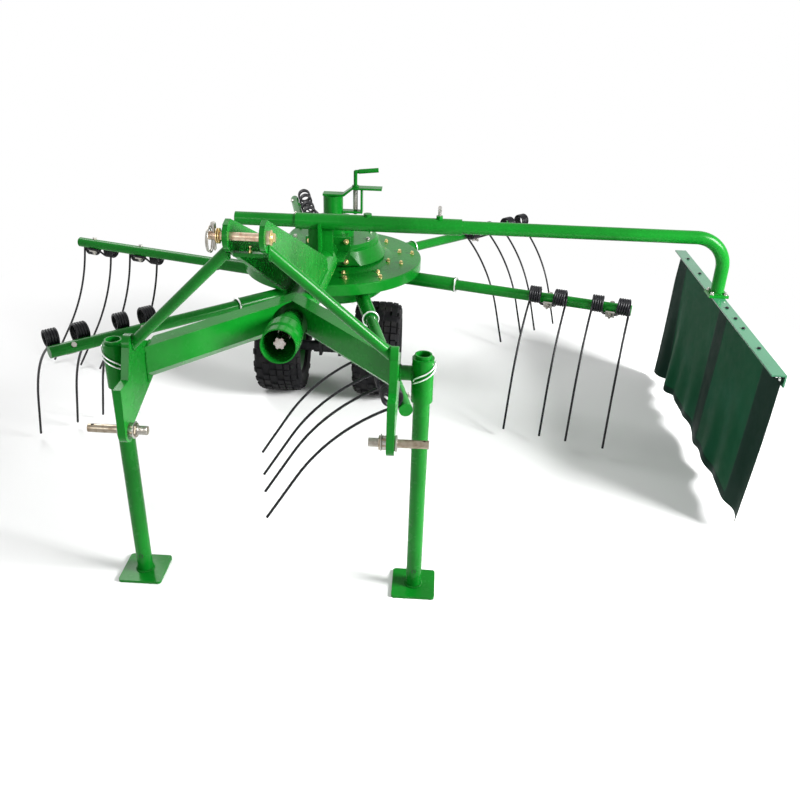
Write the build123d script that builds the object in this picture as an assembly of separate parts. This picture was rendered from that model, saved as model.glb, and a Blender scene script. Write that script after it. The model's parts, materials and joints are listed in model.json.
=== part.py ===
from build123d import *
import math
import os

# A single-rotor rotary rake for a three-point linkage, standing parked on its two jack legs
# and its two wheels. Millimetres, +Z up. The tractor side is -Y, and the swath curtain hangs
# on the +X side. Everything is laid out from the middle of the lower link pins, on the ground,
# and at the end it is moved so that the origin is the middle of the footprint.

# General fits
SEAT_GAP = 0.3
RUNNING_FIT = 0.08
MOVING_GAP = 6.0

# Lower link pins, category one
LINK_PLATE_X = 335.0
LINK_PIN_Z = 590.0
LINK_PIN_R = 11.0
LINK_PIN_REACH = 86.0
LINK_SHOULDER_R = 19.0
LINK_SHOULDER = 6.0
LINK_NUT_R = 18.0
LINK_NUT = 20.0
LINK_THREAD = 26.0
LYNCH_HOLE_R = 4.0

# Hitch plates
PLATE_THICK = 20.0
PLATE_EYE_R = 32.0
PLATE_STEP_Z = 712.0
PLATE_TOP_Z = 812.0
PLATE_TOP_R = 26.0
PLATE_TOP_Y = 92.0
PLATE_BACK_Y = 212.0

# Top link
TOP_PIN_Z = 1104.0
TOP_PIN_R = 9.5
TOP_EYE_R = 30.0
CHEEK_INSIDE = 35.0
CHEEK_THICK = 12.0
CHEEK_END_Y = 1010.0
CHEEK_FOOT_Y = 660.0
CHEEK_END_RISE = 34.0
CHEEK_NOSE = 14.0
CROSS_PLATE = (62.0, 9.0)
CROSS_DROP = 22.0
CROSS_TILT_DEG = -14.0
TOP_PIN_HEAD = 9.0
TOP_PIN_HEAD_R = 16.0
TOP_PIN_TAIL = 36.0

# Drive line from the stub shaft to the gearbox
DRIVE_Y = 308.0
DRIVE_Z = 699.0
DRIVE_DROP_DEG = 3.6
TUBE_R = 55.0
TUBE_WALL = 6.0
TUBE_START = 255.0
TUBE_END = 935.0
NECK_R = 38.0
NECK_END = 1068.0
GUARD_LIP_R = 52.0
GUARD_LIP = 34.0
GUARD_SHOULDER_R = 55.0
GUARD_SHOULDER = 118.0
GUARD_TAPER = 110.0
GUARD_NECK_R = 30.0
GUARD_WALL = 4.0
STUB_R = 17.4
STUB_ROOT_R = 14.5
STUB_START = 22.0
STUB_LENGTH = 84.0
STUB_SPLINES = 6
SHAFT_R = 20.0
SHAFT_BEHIND = 60.0
FLANGE_WIDE = 176.0
FLANGE_TALL = 112.0
FLANGE_THICK = 12.0
NECK_RIB_THICK = 8.0
NECK_RIB_REACH = 46.0

# Beams of the headstock
BEAM_FRONT_Y = 155.0
BEAM_APEX_Y = 546.0
BEAM_TOP_Z = 743.0
BEAM_TALL = 100.0
BEAM_WIDE = 50.0
BEAM_FOLD = 24.0
BEAM_WALL = 6.0

# Braces of the mast
BRACE_R = 14.0
BRACE_TOP_Y = 24.0
BRACE_BELOW_PIN = 40.0
BRACE_FOOT_Y = 100.0
BRACE_FOOT_Z = 786.0

# Jack legs
LEG_X = 406.0
LEG_Y = 167.0
LEG_R = 22.5
LEG_WALL = 4.0
LEG_TOP_Z = 762.0
SLEEVE_R = 29.0
SLEEVE_BOTTOM_Z = 627.0
SLEEVE_TOP_Z = 752.0
SLEEVE_FIT = 0.1
FOOT_SIDE = 127.0
FOOT_THICK = 8.0
FOOT_CORNER = 10.0
STUB_ARM_R = 20.0
STUB_ARM_Z = 706.0
LOCK_WIRE_R = 2.5
LOCK_Z = 700.0
LOCK_TILT_DEG = 22.0
LOCK_SWEEP_DEG = 230.0

# Rotor
ROTOR_Y = 1554.0
DISC_R = 364.0
DISC_TOP_Z = 559.0
DISC_RIM = 44.0
DISC_PLATE = 8.0
DISC_DOME = 9.0
DOME_R = 200.0
DOME_FOOT_R = 246.0
ROTOR_BORE_R = 38.0
BOSS_R = 70.0
BOSS_RISE = 14.0
HUB_TOP_R = 252.0
HUB_BOTTOM_R = 216.0
HUB_BOTTOM_Z = 420.0
HUB_WALL = 10.0

# Rake arms: the phase is the angle of the first arm, the offset puts an arm beside the axis
ARM_COUNT = 6
ARM_PHASE_DEG = -16.74
ARM_OFFSET = 81.0
ARM_Z = 477.0
ARM_R = 21.0
ARM_WALL = 4.0
ARM_END = 1222.0
SOCKET_R = 28.0
SOCKET_START = 140.0
SOCKET_END = 513.0
ARM_START = 440.0
RING_WIDE = 7.0
RING_R = 31.0
SADDLE_WIDE = 160.0
SADDLE_START = 225.0
SADDLE_END = 312.0
SADDLE_PLATE = 10.0

# Double tines: a pair of coils beside the arm, and a leg from the outer end of each coil
WIRE_R = 4.5
COIL_R = 34.0
COIL_TURNS = 5
COIL_SPACE = 46.0
COIL_PLAY = 0.3
COIL_GAP = 1.5
COIL_LAG_DEG = 26.0
TINE_STATIONS = (901.0, 1145.0)
TINE_UPPER = 210.0
TINE_LOWER = 350.0
TINE_BEND_DEG = 36.0
TINE_BEND_R = 560.0
LOOP_Y = 10.5
LOOP_DROP = 24.0
LOOP_R = 9.0
CLAMP_BOLT_R = 5.0
CLAMP_HEAD_R = 9.5
CLAMP_HEAD = 7.0
CLAMP_WIDE = 34.0
CLAMP_LONG = 32.0
CLAMP_THICK = 6.0
CLAMP_TAIL = 8.0
# How far the cam lets the tines of each arm trail, in degrees from plumb, from the first arm on
TINE_TRAIL_DEG = (56.0, 54.0, 53.0, -12.5, 54.0, 70.0)

# Gearbox, column and height crank
DRUM_R = 186.0
DRUM_TOP_Z = 650.0
DRUM_EDGE = 10.0
BOX_HALF_X = 82.0
BOX_BACK_Y = 1668.0
TURRET_R = 84.0
TURRET_TOP_Z = 716.0
COLUMN_R = 40.0
COLUMN_WALL = 8.0
COLUMN_TOP_Z = 810.0
SKIRT_R = 214.0
SKIRT_TALL = 52.0
CRANK_X = 90.0
CRANK_ROD_R = 7.5
CRANK_TOP_Z = 905.0
CRANK_GRIP = 92.0
CRANK_GRIP_R = 9.0
HEAD_THICK = 8.0
HEAD_WIDE = 46.0
HEAD_END_X = 197.0
HEAD_RISE_Z = 846.0
STRAP_HALF = 30.0
STRAP_THICK = 8.0
STRAP_WIDE = 36.0
STRAP_BOTTOM_Z = 742.0

# Wheel strut, axle and wheels
STRUT_R = 30.0
STRUT_BOTTOM_Z = 300.0
AXLE_Y = 1430.0
WHEEL_X = 200.0
WHEEL_R = 198.0
WHEEL_WIDE = 190.0
RIM_R = 104.0
RIM_WIDE = 150.0
RIM_WALL = 5.0
WHEEL_HUB_R = 30.0
WHEEL_HUB_WIDE = 96.0
AXLE_R = 15.0
AXLE_NUT_R = 19.0
AXLE_NUT = 16.0
FORK_HALF = 46.0
FORK_PLATE = 12.0

# Boom and swath curtain
BOOM_Y = 1180.0
BOOM_Z = 806.0
BOOM_R = 24.0
BOOM_WALL = 4.0
BOOM_LEFT_X = -312.0
BOOM_DROP_X = 1468.0
BOOM_BEND_R = 112.0
BOOM_SLEEVE_R = 29.0
BOOM_SLEEVE_FIT = 0.3
SLEEVE_LEFT_X = -90.0
SLEEVE_RIGHT_X = 514.0
BOOM_POST_HALF_X = 45.0
BOOM_POST_THICK = 10.0
BOOM_RIB_FRONT = 42.0
BOOM_RIB_BACK = 34.0
TEE_X = 432.0
TEE_R = 6.0
TEE_RISE = 34.0
TEE_BAR = 44.0
TEE_BAR_R = 7.0
CAP_X = 172.0
CAP_R = 15.0
CAP_RISE = 7.0
BAR_Z = 592.0
BAR_WIDE = 45.0
BAR_TALL = 40.0
BAR_WALL = 5.0
BAR_FRONT_Y = 505.0
BAR_BACK_Y = 1720.0
FOOT_PLATE = 10.0
FOOT_PLATE_SIDE = 70.0
CURTAIN_THICK = 6.0
CURTAIN_TALL = 535.0
CURTAIN_TOP_GAP = 4.0


def tube(start, end, outer, inner=0.0):
    """A round bar or tube from one point to another."""
    line = Vector(*end) - Vector(*start)
    plane = Plane(origin=start, z_dir=line)
    bar = extrude(plane * Circle(outer), line.length)
    if inner > 0:
        bar -= extrude(plane * Circle(inner), line.length)
    return bar


def side_plate(points, x_low, x_high):
    """A flat plate cut to an outline of (y, z) points, between two x values."""
    outline = Polyline(*[(x_low, y, z) for y, z in points], close=True)
    return extrude(make_face(outline), x_high - x_low, dir=(1, 0, 0))


def box(x_low, x_high, y_low, y_high, z_low, z_high):
    """An upright block between limits on each axis."""
    size = (x_high - x_low, y_high - y_low, z_high - z_low)
    middle = ((x_low + x_high) / 2, (y_low + y_high) / 2, (z_low + z_high) / 2)
    return Pos(*middle) * Box(*size)


def turned(points, place):
    """A solid of revolution about Z from an outline of (radius, height) points."""
    outline = Polyline(*[(r, 0, z) for r, z in points], close=True)
    return place * revolve(make_face(outline), Axis.Z)


def drive_point(along, rise=0.0):
    """A point on the drive line, a distance behind the mouth of the guard."""
    slope = math.radians(DRIVE_DROP_DEG)
    y = DRIVE_Y + along * math.cos(slope) + rise * math.sin(slope)
    z = DRIVE_Z - along * math.sin(slope) + rise * math.cos(slope)
    return (0.0, y, z)


def mirrored(piece):
    """The same piece for the other side."""
    return mirror(piece, about=Plane.YZ)


pieces = {}

# Drive tube, with the thinner neck that ends in the front flange
drive_run = Vector(*drive_point(1)) - Vector(*drive_point(0))
drive_place = Location(Plane(origin=drive_point(0), x_dir=(1, 0, 0), z_dir=drive_run))
tube_bore = TUBE_R - TUBE_WALL
neck_bore = NECK_R - TUBE_WALL
drive_tube = turned(
    [
        (tube_bore, TUBE_START),
        (TUBE_R, TUBE_START),
        (TUBE_R, TUBE_END - TUBE_WALL * 3),
        (NECK_R + TUBE_WALL, TUBE_END),
        (NECK_R, TUBE_END),
        (NECK_R, NECK_END),
        (neck_bore, NECK_END),
        (neck_bore, TUBE_END - TUBE_WALL * 3),
        (tube_bore, TUBE_END - TUBE_WALL * 4),
    ],
    drive_place,
)
flange = drive_place * Pos(0, 0, NECK_END) * extrude(Rectangle(FLANGE_WIDE, FLANGE_TALL), FLANGE_THICK)
flange -= drive_place * Pos(0, 0, NECK_END) * Cylinder(neck_bore, FLANGE_THICK * 3)
drive_tube += flange
rib_middle = (TUBE_END + NECK_END) / 2
rib_length = NECK_END - TUBE_END + TUBE_WALL * 2
for side in (-1, 1):
    rib_place = drive_place * Pos(side * (NECK_R + NECK_RIB_REACH / 2 - TUBE_WALL), 0, rib_middle)
    drive_tube += rib_place * Box(NECK_RIB_REACH, NECK_RIB_THICK, rib_length)
drive_tube -= drive_place * Pos(0, 0, rib_middle) * Cylinder(neck_bore, rib_length * 2)
pieces["drive_tube"] = drive_tube
tube_envelope = tube(drive_point(TUBE_START), drive_point(TUBE_END), TUBE_R)

# Guard round the stub shaft, a bell that is welded to the front of the drive tube
guard_end = TUBE_START
taper_end = GUARD_SHOULDER + GUARD_TAPER
guard = turned(
    [
        (GUARD_LIP_R - GUARD_WALL, 0),
        (GUARD_LIP_R, 0),
        (GUARD_LIP_R, GUARD_LIP),
        (GUARD_LIP_R - GUARD_WALL / 2, GUARD_LIP + 4),
        (GUARD_LIP_R - GUARD_WALL / 2, GUARD_LIP + 10),
        (GUARD_SHOULDER_R, GUARD_LIP + 14),
        (GUARD_SHOULDER_R, GUARD_SHOULDER - 20),
        (GUARD_SHOULDER_R - 4, GUARD_SHOULDER),
        (GUARD_NECK_R + 4, taper_end - 20),
        (GUARD_NECK_R, taper_end),
        (GUARD_NECK_R, guard_end),
        (GUARD_NECK_R - GUARD_WALL, guard_end),
        (GUARD_NECK_R - GUARD_WALL, taper_end),
        (GUARD_NECK_R + 4 - GUARD_WALL, taper_end - 22),
        (GUARD_SHOULDER_R - 4 - GUARD_WALL, GUARD_SHOULDER - 2),
        (GUARD_SHOULDER_R - GUARD_WALL, GUARD_SHOULDER - 22),
        (GUARD_SHOULDER_R - GUARD_WALL, GUARD_LIP + 16),
        (GUARD_LIP_R - GUARD_WALL, GUARD_LIP + 10),
    ],
    drive_place,
)
guard_plate = turned(
    [
        (SHAFT_R + RUNNING_FIT, guard_end - TUBE_WALL),
        (TUBE_R, guard_end - TUBE_WALL),
        (TUBE_R, guard_end),
        (SHAFT_R + RUNNING_FIT, guard_end),
    ],
    drive_place,
)
pieces["pto_guard"] = guard + guard_plate

# Splined stub shaft, which turns in the end plate of the guard
stub = drive_place * Pos(0, 0, STUB_START) * extrude(Circle(STUB_ROOT_R), STUB_LENGTH)
tooth = Rectangle((STUB_R - STUB_ROOT_R) * 2, STUB_ROOT_R * 0.55)
for index in range(STUB_SPLINES):
    turn = Rot(0, 0, index * 360 / STUB_SPLINES)
    stub += drive_place * Pos(0, 0, STUB_START) * turn * Pos(STUB_ROOT_R, 0, 0) * extrude(tooth, STUB_LENGTH)
journal = STUB_START + STUB_LENGTH
stub += drive_place * Pos(0, 0, journal) * extrude(Circle(SHAFT_R), TUBE_START + SHAFT_BEHIND - journal)
pieces["pto_shaft"] = stub

# Hitch plates: an eye for the link pin, a stepped front edge and a rounded top
plate_in = LINK_PLATE_X - PLATE_THICK / 2
plate_out = LINK_PLATE_X + PLATE_THICK / 2
outline = [
    (-PLATE_EYE_R, LINK_PIN_Z),
    (-PLATE_EYE_R + 10, PLATE_STEP_Z),
    (PLATE_TOP_Y - 58, PLATE_STEP_Z),
    (PLATE_TOP_Y - PLATE_TOP_R, PLATE_TOP_Z - PLATE_TOP_R),
    (PLATE_TOP_Y + PLATE_TOP_R, PLATE_TOP_Z - PLATE_TOP_R),
    (PLATE_BACK_Y, BEAM_TOP_Z),
    (PLATE_BACK_Y, BEAM_TOP_Z - BEAM_TALL),
    (PLATE_EYE_R, LINK_PIN_Z),
]
hitch = side_plate(outline, plate_in, plate_out)
hitch += tube((plate_in, 0, LINK_PIN_Z), (plate_out, 0, LINK_PIN_Z), PLATE_EYE_R)
top_middle = PLATE_TOP_Z - PLATE_TOP_R
hitch += tube((plate_in, PLATE_TOP_Y, top_middle), (plate_out, PLATE_TOP_Y, top_middle), PLATE_TOP_R)
hitch -= tube((0, 0, LINK_PIN_Z), (LEG_X, 0, LINK_PIN_Z), LINK_PIN_R + SLEEVE_FIT)
stub_arm = tube((plate_out, LEG_Y, STUB_ARM_Z), (LEG_X, LEG_Y, STUB_ARM_Z), STUB_ARM_R)
stub_arm -= tube((LEG_X, LEG_Y, SLEEVE_BOTTOM_Z), (LEG_X, LEG_Y, SLEEVE_TOP_Z), SLEEVE_R)
hitch += stub_arm
pieces["right_hitch_plate"] = hitch
pieces["left_hitch_plate"] = mirrored(hitch)

# Lower link pins, screwed through the eyes with a shoulder outside and a nut inside
pin_tip = plate_out + LINK_PIN_REACH
link_pin = tube((plate_in - LINK_NUT - LINK_THREAD, 0, LINK_PIN_Z), (pin_tip, 0, LINK_PIN_Z), LINK_PIN_R)
link_pin += tube((plate_out, 0, LINK_PIN_Z), (plate_out + LINK_SHOULDER, 0, LINK_PIN_Z), LINK_SHOULDER_R)
nut_plane = Plane(origin=(plate_in, 0, LINK_PIN_Z), x_dir=(0, 1, 0), z_dir=(-1, 0, 0))
link_pin += extrude(nut_plane * RegularPolygon(LINK_NUT_R, 6), LINK_NUT)
hole_x = pin_tip - LYNCH_HOLE_R * 3
link_pin -= tube((hole_x, 0, LINK_PIN_Z - LINK_PIN_R * 2), (hole_x, 0, LINK_PIN_Z + LINK_PIN_R * 2), LYNCH_HOLE_R)
pieces["lower_link_pins"] = Compound([link_pin, mirrored(link_pin)])

# Sleeves that hold the jack legs
sleeve_bore = LEG_R + SLEEVE_FIT
sleeve = tube((LEG_X, LEG_Y, SLEEVE_BOTTOM_Z), (LEG_X, LEG_Y, SLEEVE_TOP_Z), SLEEVE_R, sleeve_bore)
pieces["right_leg_sleeve"] = sleeve
pieces["left_leg_sleeve"] = mirrored(sleeve)

# Wire clips that lock the legs: a pin against the leg and a loop round the sleeve
clip_r = (SLEEVE_R + SEAT_GAP + LOCK_WIRE_R) / math.cos(math.radians(LOCK_TILT_DEG))
clip = revolve(Pos(clip_r, 0, 0) * Rot(90, 0, 0) * Circle(LOCK_WIRE_R), Axis.Z, LOCK_SWEEP_DEG)
clip = Pos(LEG_X, LEG_Y, LOCK_Z) * Rot(LOCK_TILT_DEG, 0, 0) * Rot(0, 0, -LOCK_SWEEP_DEG / 2) * clip
pieces["leg_lock_clips"] = Compound([clip, mirrored(clip)])

# Jack legs on square feet
leg = tube((LEG_X, LEG_Y, FOOT_THICK), (LEG_X, LEG_Y, LEG_TOP_Z), LEG_R, LEG_R - LEG_WALL)
foot = extrude(RectangleRounded(FOOT_SIDE, FOOT_SIDE, FOOT_CORNER), FOOT_THICK)
leg += Pos(LEG_X, LEG_Y, 0) * foot
pieces["right_leg"] = leg
pieces["left_leg"] = mirrored(leg)

# Headstock beams: folded box sections from the hitch plates to the drive tube
run = Vector(-LINK_PLATE_X, BEAM_APEX_Y - BEAM_FRONT_Y, 0).normalized()
across = Vector(run.Y, -run.X, 0)
beam_start = Vector(LINK_PLATE_X, BEAM_FRONT_Y, BEAM_TOP_Z) - run * BEAM_WIDE * 2
section_plane = Plane(origin=beam_start, x_dir=across, z_dir=run)


def beam_section(inset):
    """The folded section, or the hollow in it for an inset of one wall."""
    wide = BEAM_WIDE - inset
    tall = BEAM_TALL - inset
    return Polyline(
        (inset, inset),
        (inset, BEAM_TALL - BEAM_FOLD),
        (BEAM_FOLD + inset / 2, tall),
        (wide, tall),
        (wide, inset),
        close=True,
    )


beam_length = math.hypot(LINK_PLATE_X, BEAM_APEX_Y - BEAM_FRONT_Y) + BEAM_WIDE * 6


def beam_solid():
    """The right beam, trimmed to its plate and to the drive tube."""
    face = section_plane * make_face(beam_section(0)) - section_plane * make_face(beam_section(BEAM_WALL))
    solid = extrude(face, beam_length, dir=run)
    solid &= box(0, plate_in, 0, CHEEK_END_Y, 0, TOP_PIN_Z)
    return solid - tube_envelope - tube(drive_point(0), drive_point(TUBE_START), TUBE_R)


beam = beam_solid()
pieces["right_beam"] = beam
pieces["left_beam"] = mirrored(beam)

# Mast cheeks from the top link pin back to the top of the drive tube
cheek_out = CHEEK_INSIDE + CHEEK_THICK
end_z = drive_point(CHEEK_END_Y - DRIVE_Y)[2]
foot_z = drive_point(CHEEK_FOOT_Y - DRIVE_Y)[2]
cheek_outline = [
    (-CHEEK_NOSE, TOP_PIN_Z + TOP_EYE_R),
    (CHEEK_NOSE, TOP_PIN_Z + TOP_EYE_R + TUBE_WALL),
    (CHEEK_END_Y - 40, end_z + TUBE_R + CHEEK_END_RISE),
    (CHEEK_END_Y, end_z + TUBE_R),
    (CHEEK_END_Y, end_z),
    (CHEEK_FOOT_Y, foot_z),
    (CHEEK_FOOT_Y, foot_z + TUBE_R),
    (CHEEK_NOSE, TOP_PIN_Z - TOP_EYE_R - TUBE_WALL * 2),
    (-CHEEK_NOSE, TOP_PIN_Z - TOP_EYE_R),
]
cheek = side_plate(cheek_outline, CHEEK_INSIDE, cheek_out)
cheek += tube((CHEEK_INSIDE, 0, TOP_PIN_Z), (cheek_out, 0, TOP_PIN_Z), TOP_EYE_R)
cheek -= tube((0, 0, TOP_PIN_Z), (LEG_X, 0, TOP_PIN_Z), TOP_PIN_R + SLEEVE_FIT)
cheek -= tube_envelope
pieces["right_mast_cheek"] = cheek
pieces["left_mast_cheek"] = mirrored(cheek)

# Cross plate below the top link pin
cross = box(-CHEEK_INSIDE, CHEEK_INSIDE, 0, CROSS_PLATE[0], 0, CROSS_PLATE[1])
cross_place = Pos(0, CHEEK_NOSE, TOP_PIN_Z - TOP_EYE_R - CROSS_DROP) * Rot(CROSS_TILT_DEG, 0, 0)
pieces["mast_cross_plate"] = cross_place * cross

# Top link pin
top_pin = tube((-cheek_out - TOP_PIN_TAIL, 0, TOP_PIN_Z), (cheek_out + TOP_PIN_HEAD, 0, TOP_PIN_Z), TOP_PIN_R)
top_pin += tube((cheek_out, 0, TOP_PIN_Z), (cheek_out + TOP_PIN_HEAD, 0, TOP_PIN_Z), TOP_PIN_HEAD_R)
tail_hole_x = -cheek_out - TOP_PIN_TAIL + LYNCH_HOLE_R * 3
top_pin -= tube((tail_hole_x, 0, TOP_PIN_Z - TOP_EYE_R), (tail_hole_x, 0, TOP_PIN_Z + TOP_EYE_R), LYNCH_HOLE_R)
pieces["top_link_pin"] = top_pin

# Braces from the cheeks down to the tops of the hitch plates
brace_top = Vector(cheek_out, BRACE_TOP_Y, TOP_PIN_Z - BRACE_BELOW_PIN)
brace_foot = Vector(plate_in, BRACE_FOOT_Y, BRACE_FOOT_Z)
brace_run = (brace_foot - brace_top).normalized()
brace = tube(brace_top - brace_run * BRACE_R * 2, brace_foot + brace_run * BRACE_R * 2, BRACE_R)
brace &= box(cheek_out, plate_in, -BEAM_WIDE, PLATE_BACK_Y, 0, TOP_PIN_Z + TOP_EYE_R)
pieces["right_brace"] = brace
pieces["left_brace"] = mirrored(brace)

# Gearbox with its front flange, its drum over the rotor disc and the turret under the column
rotor_place = Pos(0, ROTOR_Y, 0)
box_bottom_z = DISC_TOP_Z + DISC_DOME + MOVING_GAP
flange_end = NECK_END + FLANGE_THICK
gearbox = turned(
    [
        (STRUT_R, box_bottom_z),
        (SKIRT_R, box_bottom_z),
        (DRUM_R, box_bottom_z + SKIRT_TALL),
        (DRUM_R, DRUM_TOP_Z - DRUM_EDGE),
        (DRUM_R - DRUM_EDGE, DRUM_TOP_Z),
        (TURRET_R, DRUM_TOP_Z),
        (TURRET_R, TURRET_TOP_Z),
        (STRUT_R, TURRET_TOP_Z),
    ],
    rotor_place,
)
front = drive_place * Pos(0, 0, flange_end) * extrude(Rectangle(FLANGE_WIDE, FLANGE_TALL), FLANGE_THICK)
snout = drive_place * Pos(0, 0, flange_end) * extrude(Rectangle(BOX_HALF_X * 1.7, FLANGE_TALL - 20), 150)
snout -= rotor_place * Cylinder(STRUT_R, TOP_PIN_Z * 2)
floor = box(-SKIRT_R, SKIRT_R, 0, BOX_BACK_Y, 0, box_bottom_z)
gearbox += (front + snout) - floor
boss_z = DISC_TOP_Z + DISC_DOME + BOSS_RISE
recess = tube((0, ROTOR_Y, box_bottom_z - 1), (0, ROTOR_Y, boss_z + MOVING_GAP), BOSS_R + RUNNING_FIT)
gearbox -= recess
ahead = drive_place * Pos(0, 0, flange_end / 2) * Box(DRUM_R * 3, DRUM_R * 3, flange_end)
gearbox -= ahead
pieces["gearbox"] = gearbox

# Column on the gearbox
pieces["column"] = tube((0, ROTOR_Y, TURRET_TOP_Z), (0, ROTOR_Y, COLUMN_TOP_Z), COLUMN_R, COLUMN_R - COLUMN_WALL)

# Head plate of the column, with the strap that carries the crank's foot
head_points = [
    (-COLUMN_R, COLUMN_TOP_Z),
    (COLUMN_R + 6, COLUMN_TOP_Z),
    (CRANK_X - 10, HEAD_RISE_Z - HEAD_THICK),
    (HEAD_END_X, HEAD_RISE_Z - HEAD_THICK),
    (HEAD_END_X, HEAD_RISE_Z),
    (CRANK_X - 12, HEAD_RISE_Z),
    (COLUMN_R, COLUMN_TOP_Z + HEAD_THICK),
    (-COLUMN_R, COLUMN_TOP_Z + HEAD_THICK),
]
head_line = Polyline(*[(x, ROTOR_Y - HEAD_WIDE / 2, z) for x, z in head_points], close=True)
head = extrude(make_face(head_line), HEAD_WIDE, dir=(0, 1, 0))
strap_left = CRANK_X - STRAP_HALF
strap_right = CRANK_X + STRAP_HALF
strap_y = (ROTOR_Y - STRAP_WIDE / 2, ROTOR_Y + STRAP_WIDE / 2)
strap_top = HEAD_RISE_Z - HEAD_THICK
strap = box(COLUMN_R - 4, strap_right, *strap_y, STRAP_BOTTOM_Z, STRAP_BOTTOM_Z + STRAP_THICK)
strap += box(strap_right - STRAP_THICK, strap_right, *strap_y, STRAP_BOTTOM_Z, strap_top)
strap -= tube((0, ROTOR_Y, STRAP_BOTTOM_Z - 20), (0, ROTOR_Y, COLUMN_TOP_Z), COLUMN_R)
head += strap
head -= tube((CRANK_X, ROTOR_Y, STRAP_BOTTOM_Z - 20), (CRANK_X, ROTOR_Y, CRANK_TOP_Z), CRANK_ROD_R + RUNNING_FIT)
pieces["crank_bracket"] = head

# Crank with its threaded rod and turned grip
rod_foot = STRAP_BOTTOM_Z - 6
crank = tube((CRANK_X, ROTOR_Y, rod_foot), (CRANK_X, ROTOR_Y, CRANK_TOP_Z), CRANK_ROD_R)
crank += tube((CRANK_X, ROTOR_Y, HEAD_RISE_Z), (CRANK_X, ROTOR_Y, HEAD_RISE_Z + 6), CRANK_ROD_R * 1.8)
grip_end = (CRANK_X + CRANK_GRIP, ROTOR_Y, CRANK_TOP_Z + 10)
crank += Pos(CRANK_X, ROTOR_Y, CRANK_TOP_Z) * Sphere(CRANK_ROD_R)
crank += tube((CRANK_X, ROTOR_Y, CRANK_TOP_Z), grip_end, CRANK_ROD_R)
crank += tube((CRANK_X + 14, ROTOR_Y, CRANK_TOP_Z + 14 * 10 / CRANK_GRIP), grip_end, CRANK_GRIP_R)
pieces["crank"] = crank

# Strut down through the rotor, with the bracket that reaches forward to the axle
strut = tube((0, ROTOR_Y, STRUT_BOTTOM_Z), (0, ROTOR_Y, TURRET_TOP_Z), STRUT_R)
pieces["wheel_strut"] = strut
fork_outline = [
    (AXLE_Y - 34, WHEEL_R - 30),
    (AXLE_Y + 40, WHEEL_R - 34),
    (ROTOR_Y + STRUT_R + 12, STRUT_BOTTOM_Z - 60),
    (ROTOR_Y + STRUT_R + 12, STRUT_BOTTOM_Z),
    (ROTOR_Y - STRUT_R - 24, STRUT_BOTTOM_Z),
    (AXLE_Y - 34, WHEEL_R + 40),
]
fork = side_plate(fork_outline, -FORK_HALF, FORK_HALF)
hollow = side_plate(fork_outline, -FORK_HALF + FORK_PLATE, FORK_HALF - FORK_PLATE)
fork -= Pos(0, 0, -FORK_PLATE) * hollow
fork += tube((-FORK_HALF - 24, AXLE_Y, WHEEL_R), (FORK_HALF + 24, AXLE_Y, WHEEL_R), AXLE_R * 1.8)
hub_side = WHEEL_X + WHEEL_HUB_WIDE / 2
axle = tube((-hub_side - AXLE_NUT, AXLE_Y, WHEEL_R), (hub_side + AXLE_NUT, AXLE_Y, WHEEL_R), AXLE_R)
collar_end = WHEEL_X - WHEEL_HUB_WIDE / 2 - SEAT_GAP
for sign in (-1, 1):
    low, high = sorted((sign * (FORK_HALF + 24), sign * collar_end))
    axle += tube((low, AXLE_Y, WHEEL_R), (high, AXLE_Y, WHEEL_R), AXLE_R * 1.4)
    low, high = sorted((sign * (hub_side + SEAT_GAP), sign * (hub_side + SEAT_GAP + AXLE_NUT)))
    nut = Plane(origin=(low, AXLE_Y, WHEEL_R), x_dir=(0, 1, 0), z_dir=(1, 0, 0)) * RegularPolygon(AXLE_NUT_R, 6)
    axle += extrude(nut, high - low)
pieces["axle"] = fork + axle

# Wheels
wheel_turn = Rot(0, 90, 0)
half_rim = RIM_WIDE / 2
half_hub = WHEEL_HUB_WIDE / 2
rim = turned(
    [
        (AXLE_R + RUNNING_FIT, -half_hub),
        (WHEEL_HUB_R, -half_hub),
        (WHEEL_HUB_R, -RIM_WALL),
        (RIM_R - 14, -RIM_WALL),
        (RIM_R - 14, -half_rim + 16),
        (RIM_R + 8, -half_rim),
        (RIM_R + 12, -half_rim + 2),
        (RIM_R - 8, -half_rim + 20),
        (RIM_R - 8, half_rim - 20),
        (RIM_R + 12, half_rim - 2),
        (RIM_R + 8, half_rim),
        (RIM_R - 14, half_rim - 16),
        (RIM_R - 14, RIM_WALL),
        (WHEEL_HUB_R, RIM_WALL),
        (WHEEL_HUB_R, half_hub),
        (AXLE_R + RUNNING_FIT, half_hub),
    ],
    wheel_turn,
)
half_tyre = WHEEL_WIDE / 2
tyre = turned(
    [
        (RIM_R - 7.7, -half_rim + 21),
        (RIM_R + 13, -half_rim + 2),
        (RIM_R + 30, -half_tyre + 4),
        (WHEEL_R - 40, -half_tyre),
        (WHEEL_R - 14, -half_tyre + 14),
        (WHEEL_R - 3, -half_tyre + 36),
        (WHEEL_R, 0),
        (WHEEL_R - 3, half_tyre - 36),
        (WHEEL_R - 14, half_tyre - 14),
        (WHEEL_R - 40, half_tyre),
        (RIM_R + 30, half_tyre - 4),
        (RIM_R + 13, half_rim - 2),
        (RIM_R - 7.7, half_rim - 21),
    ],
    wheel_turn,
)
for name, x in (("left", -WHEEL_X), ("right", WHEEL_X)):
    place = Pos(x, AXLE_Y, WHEEL_R)
    pieces[name + "_wheel_rim"] = place * rim
    pieces[name + "_tyre"] = place * tyre

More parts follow.
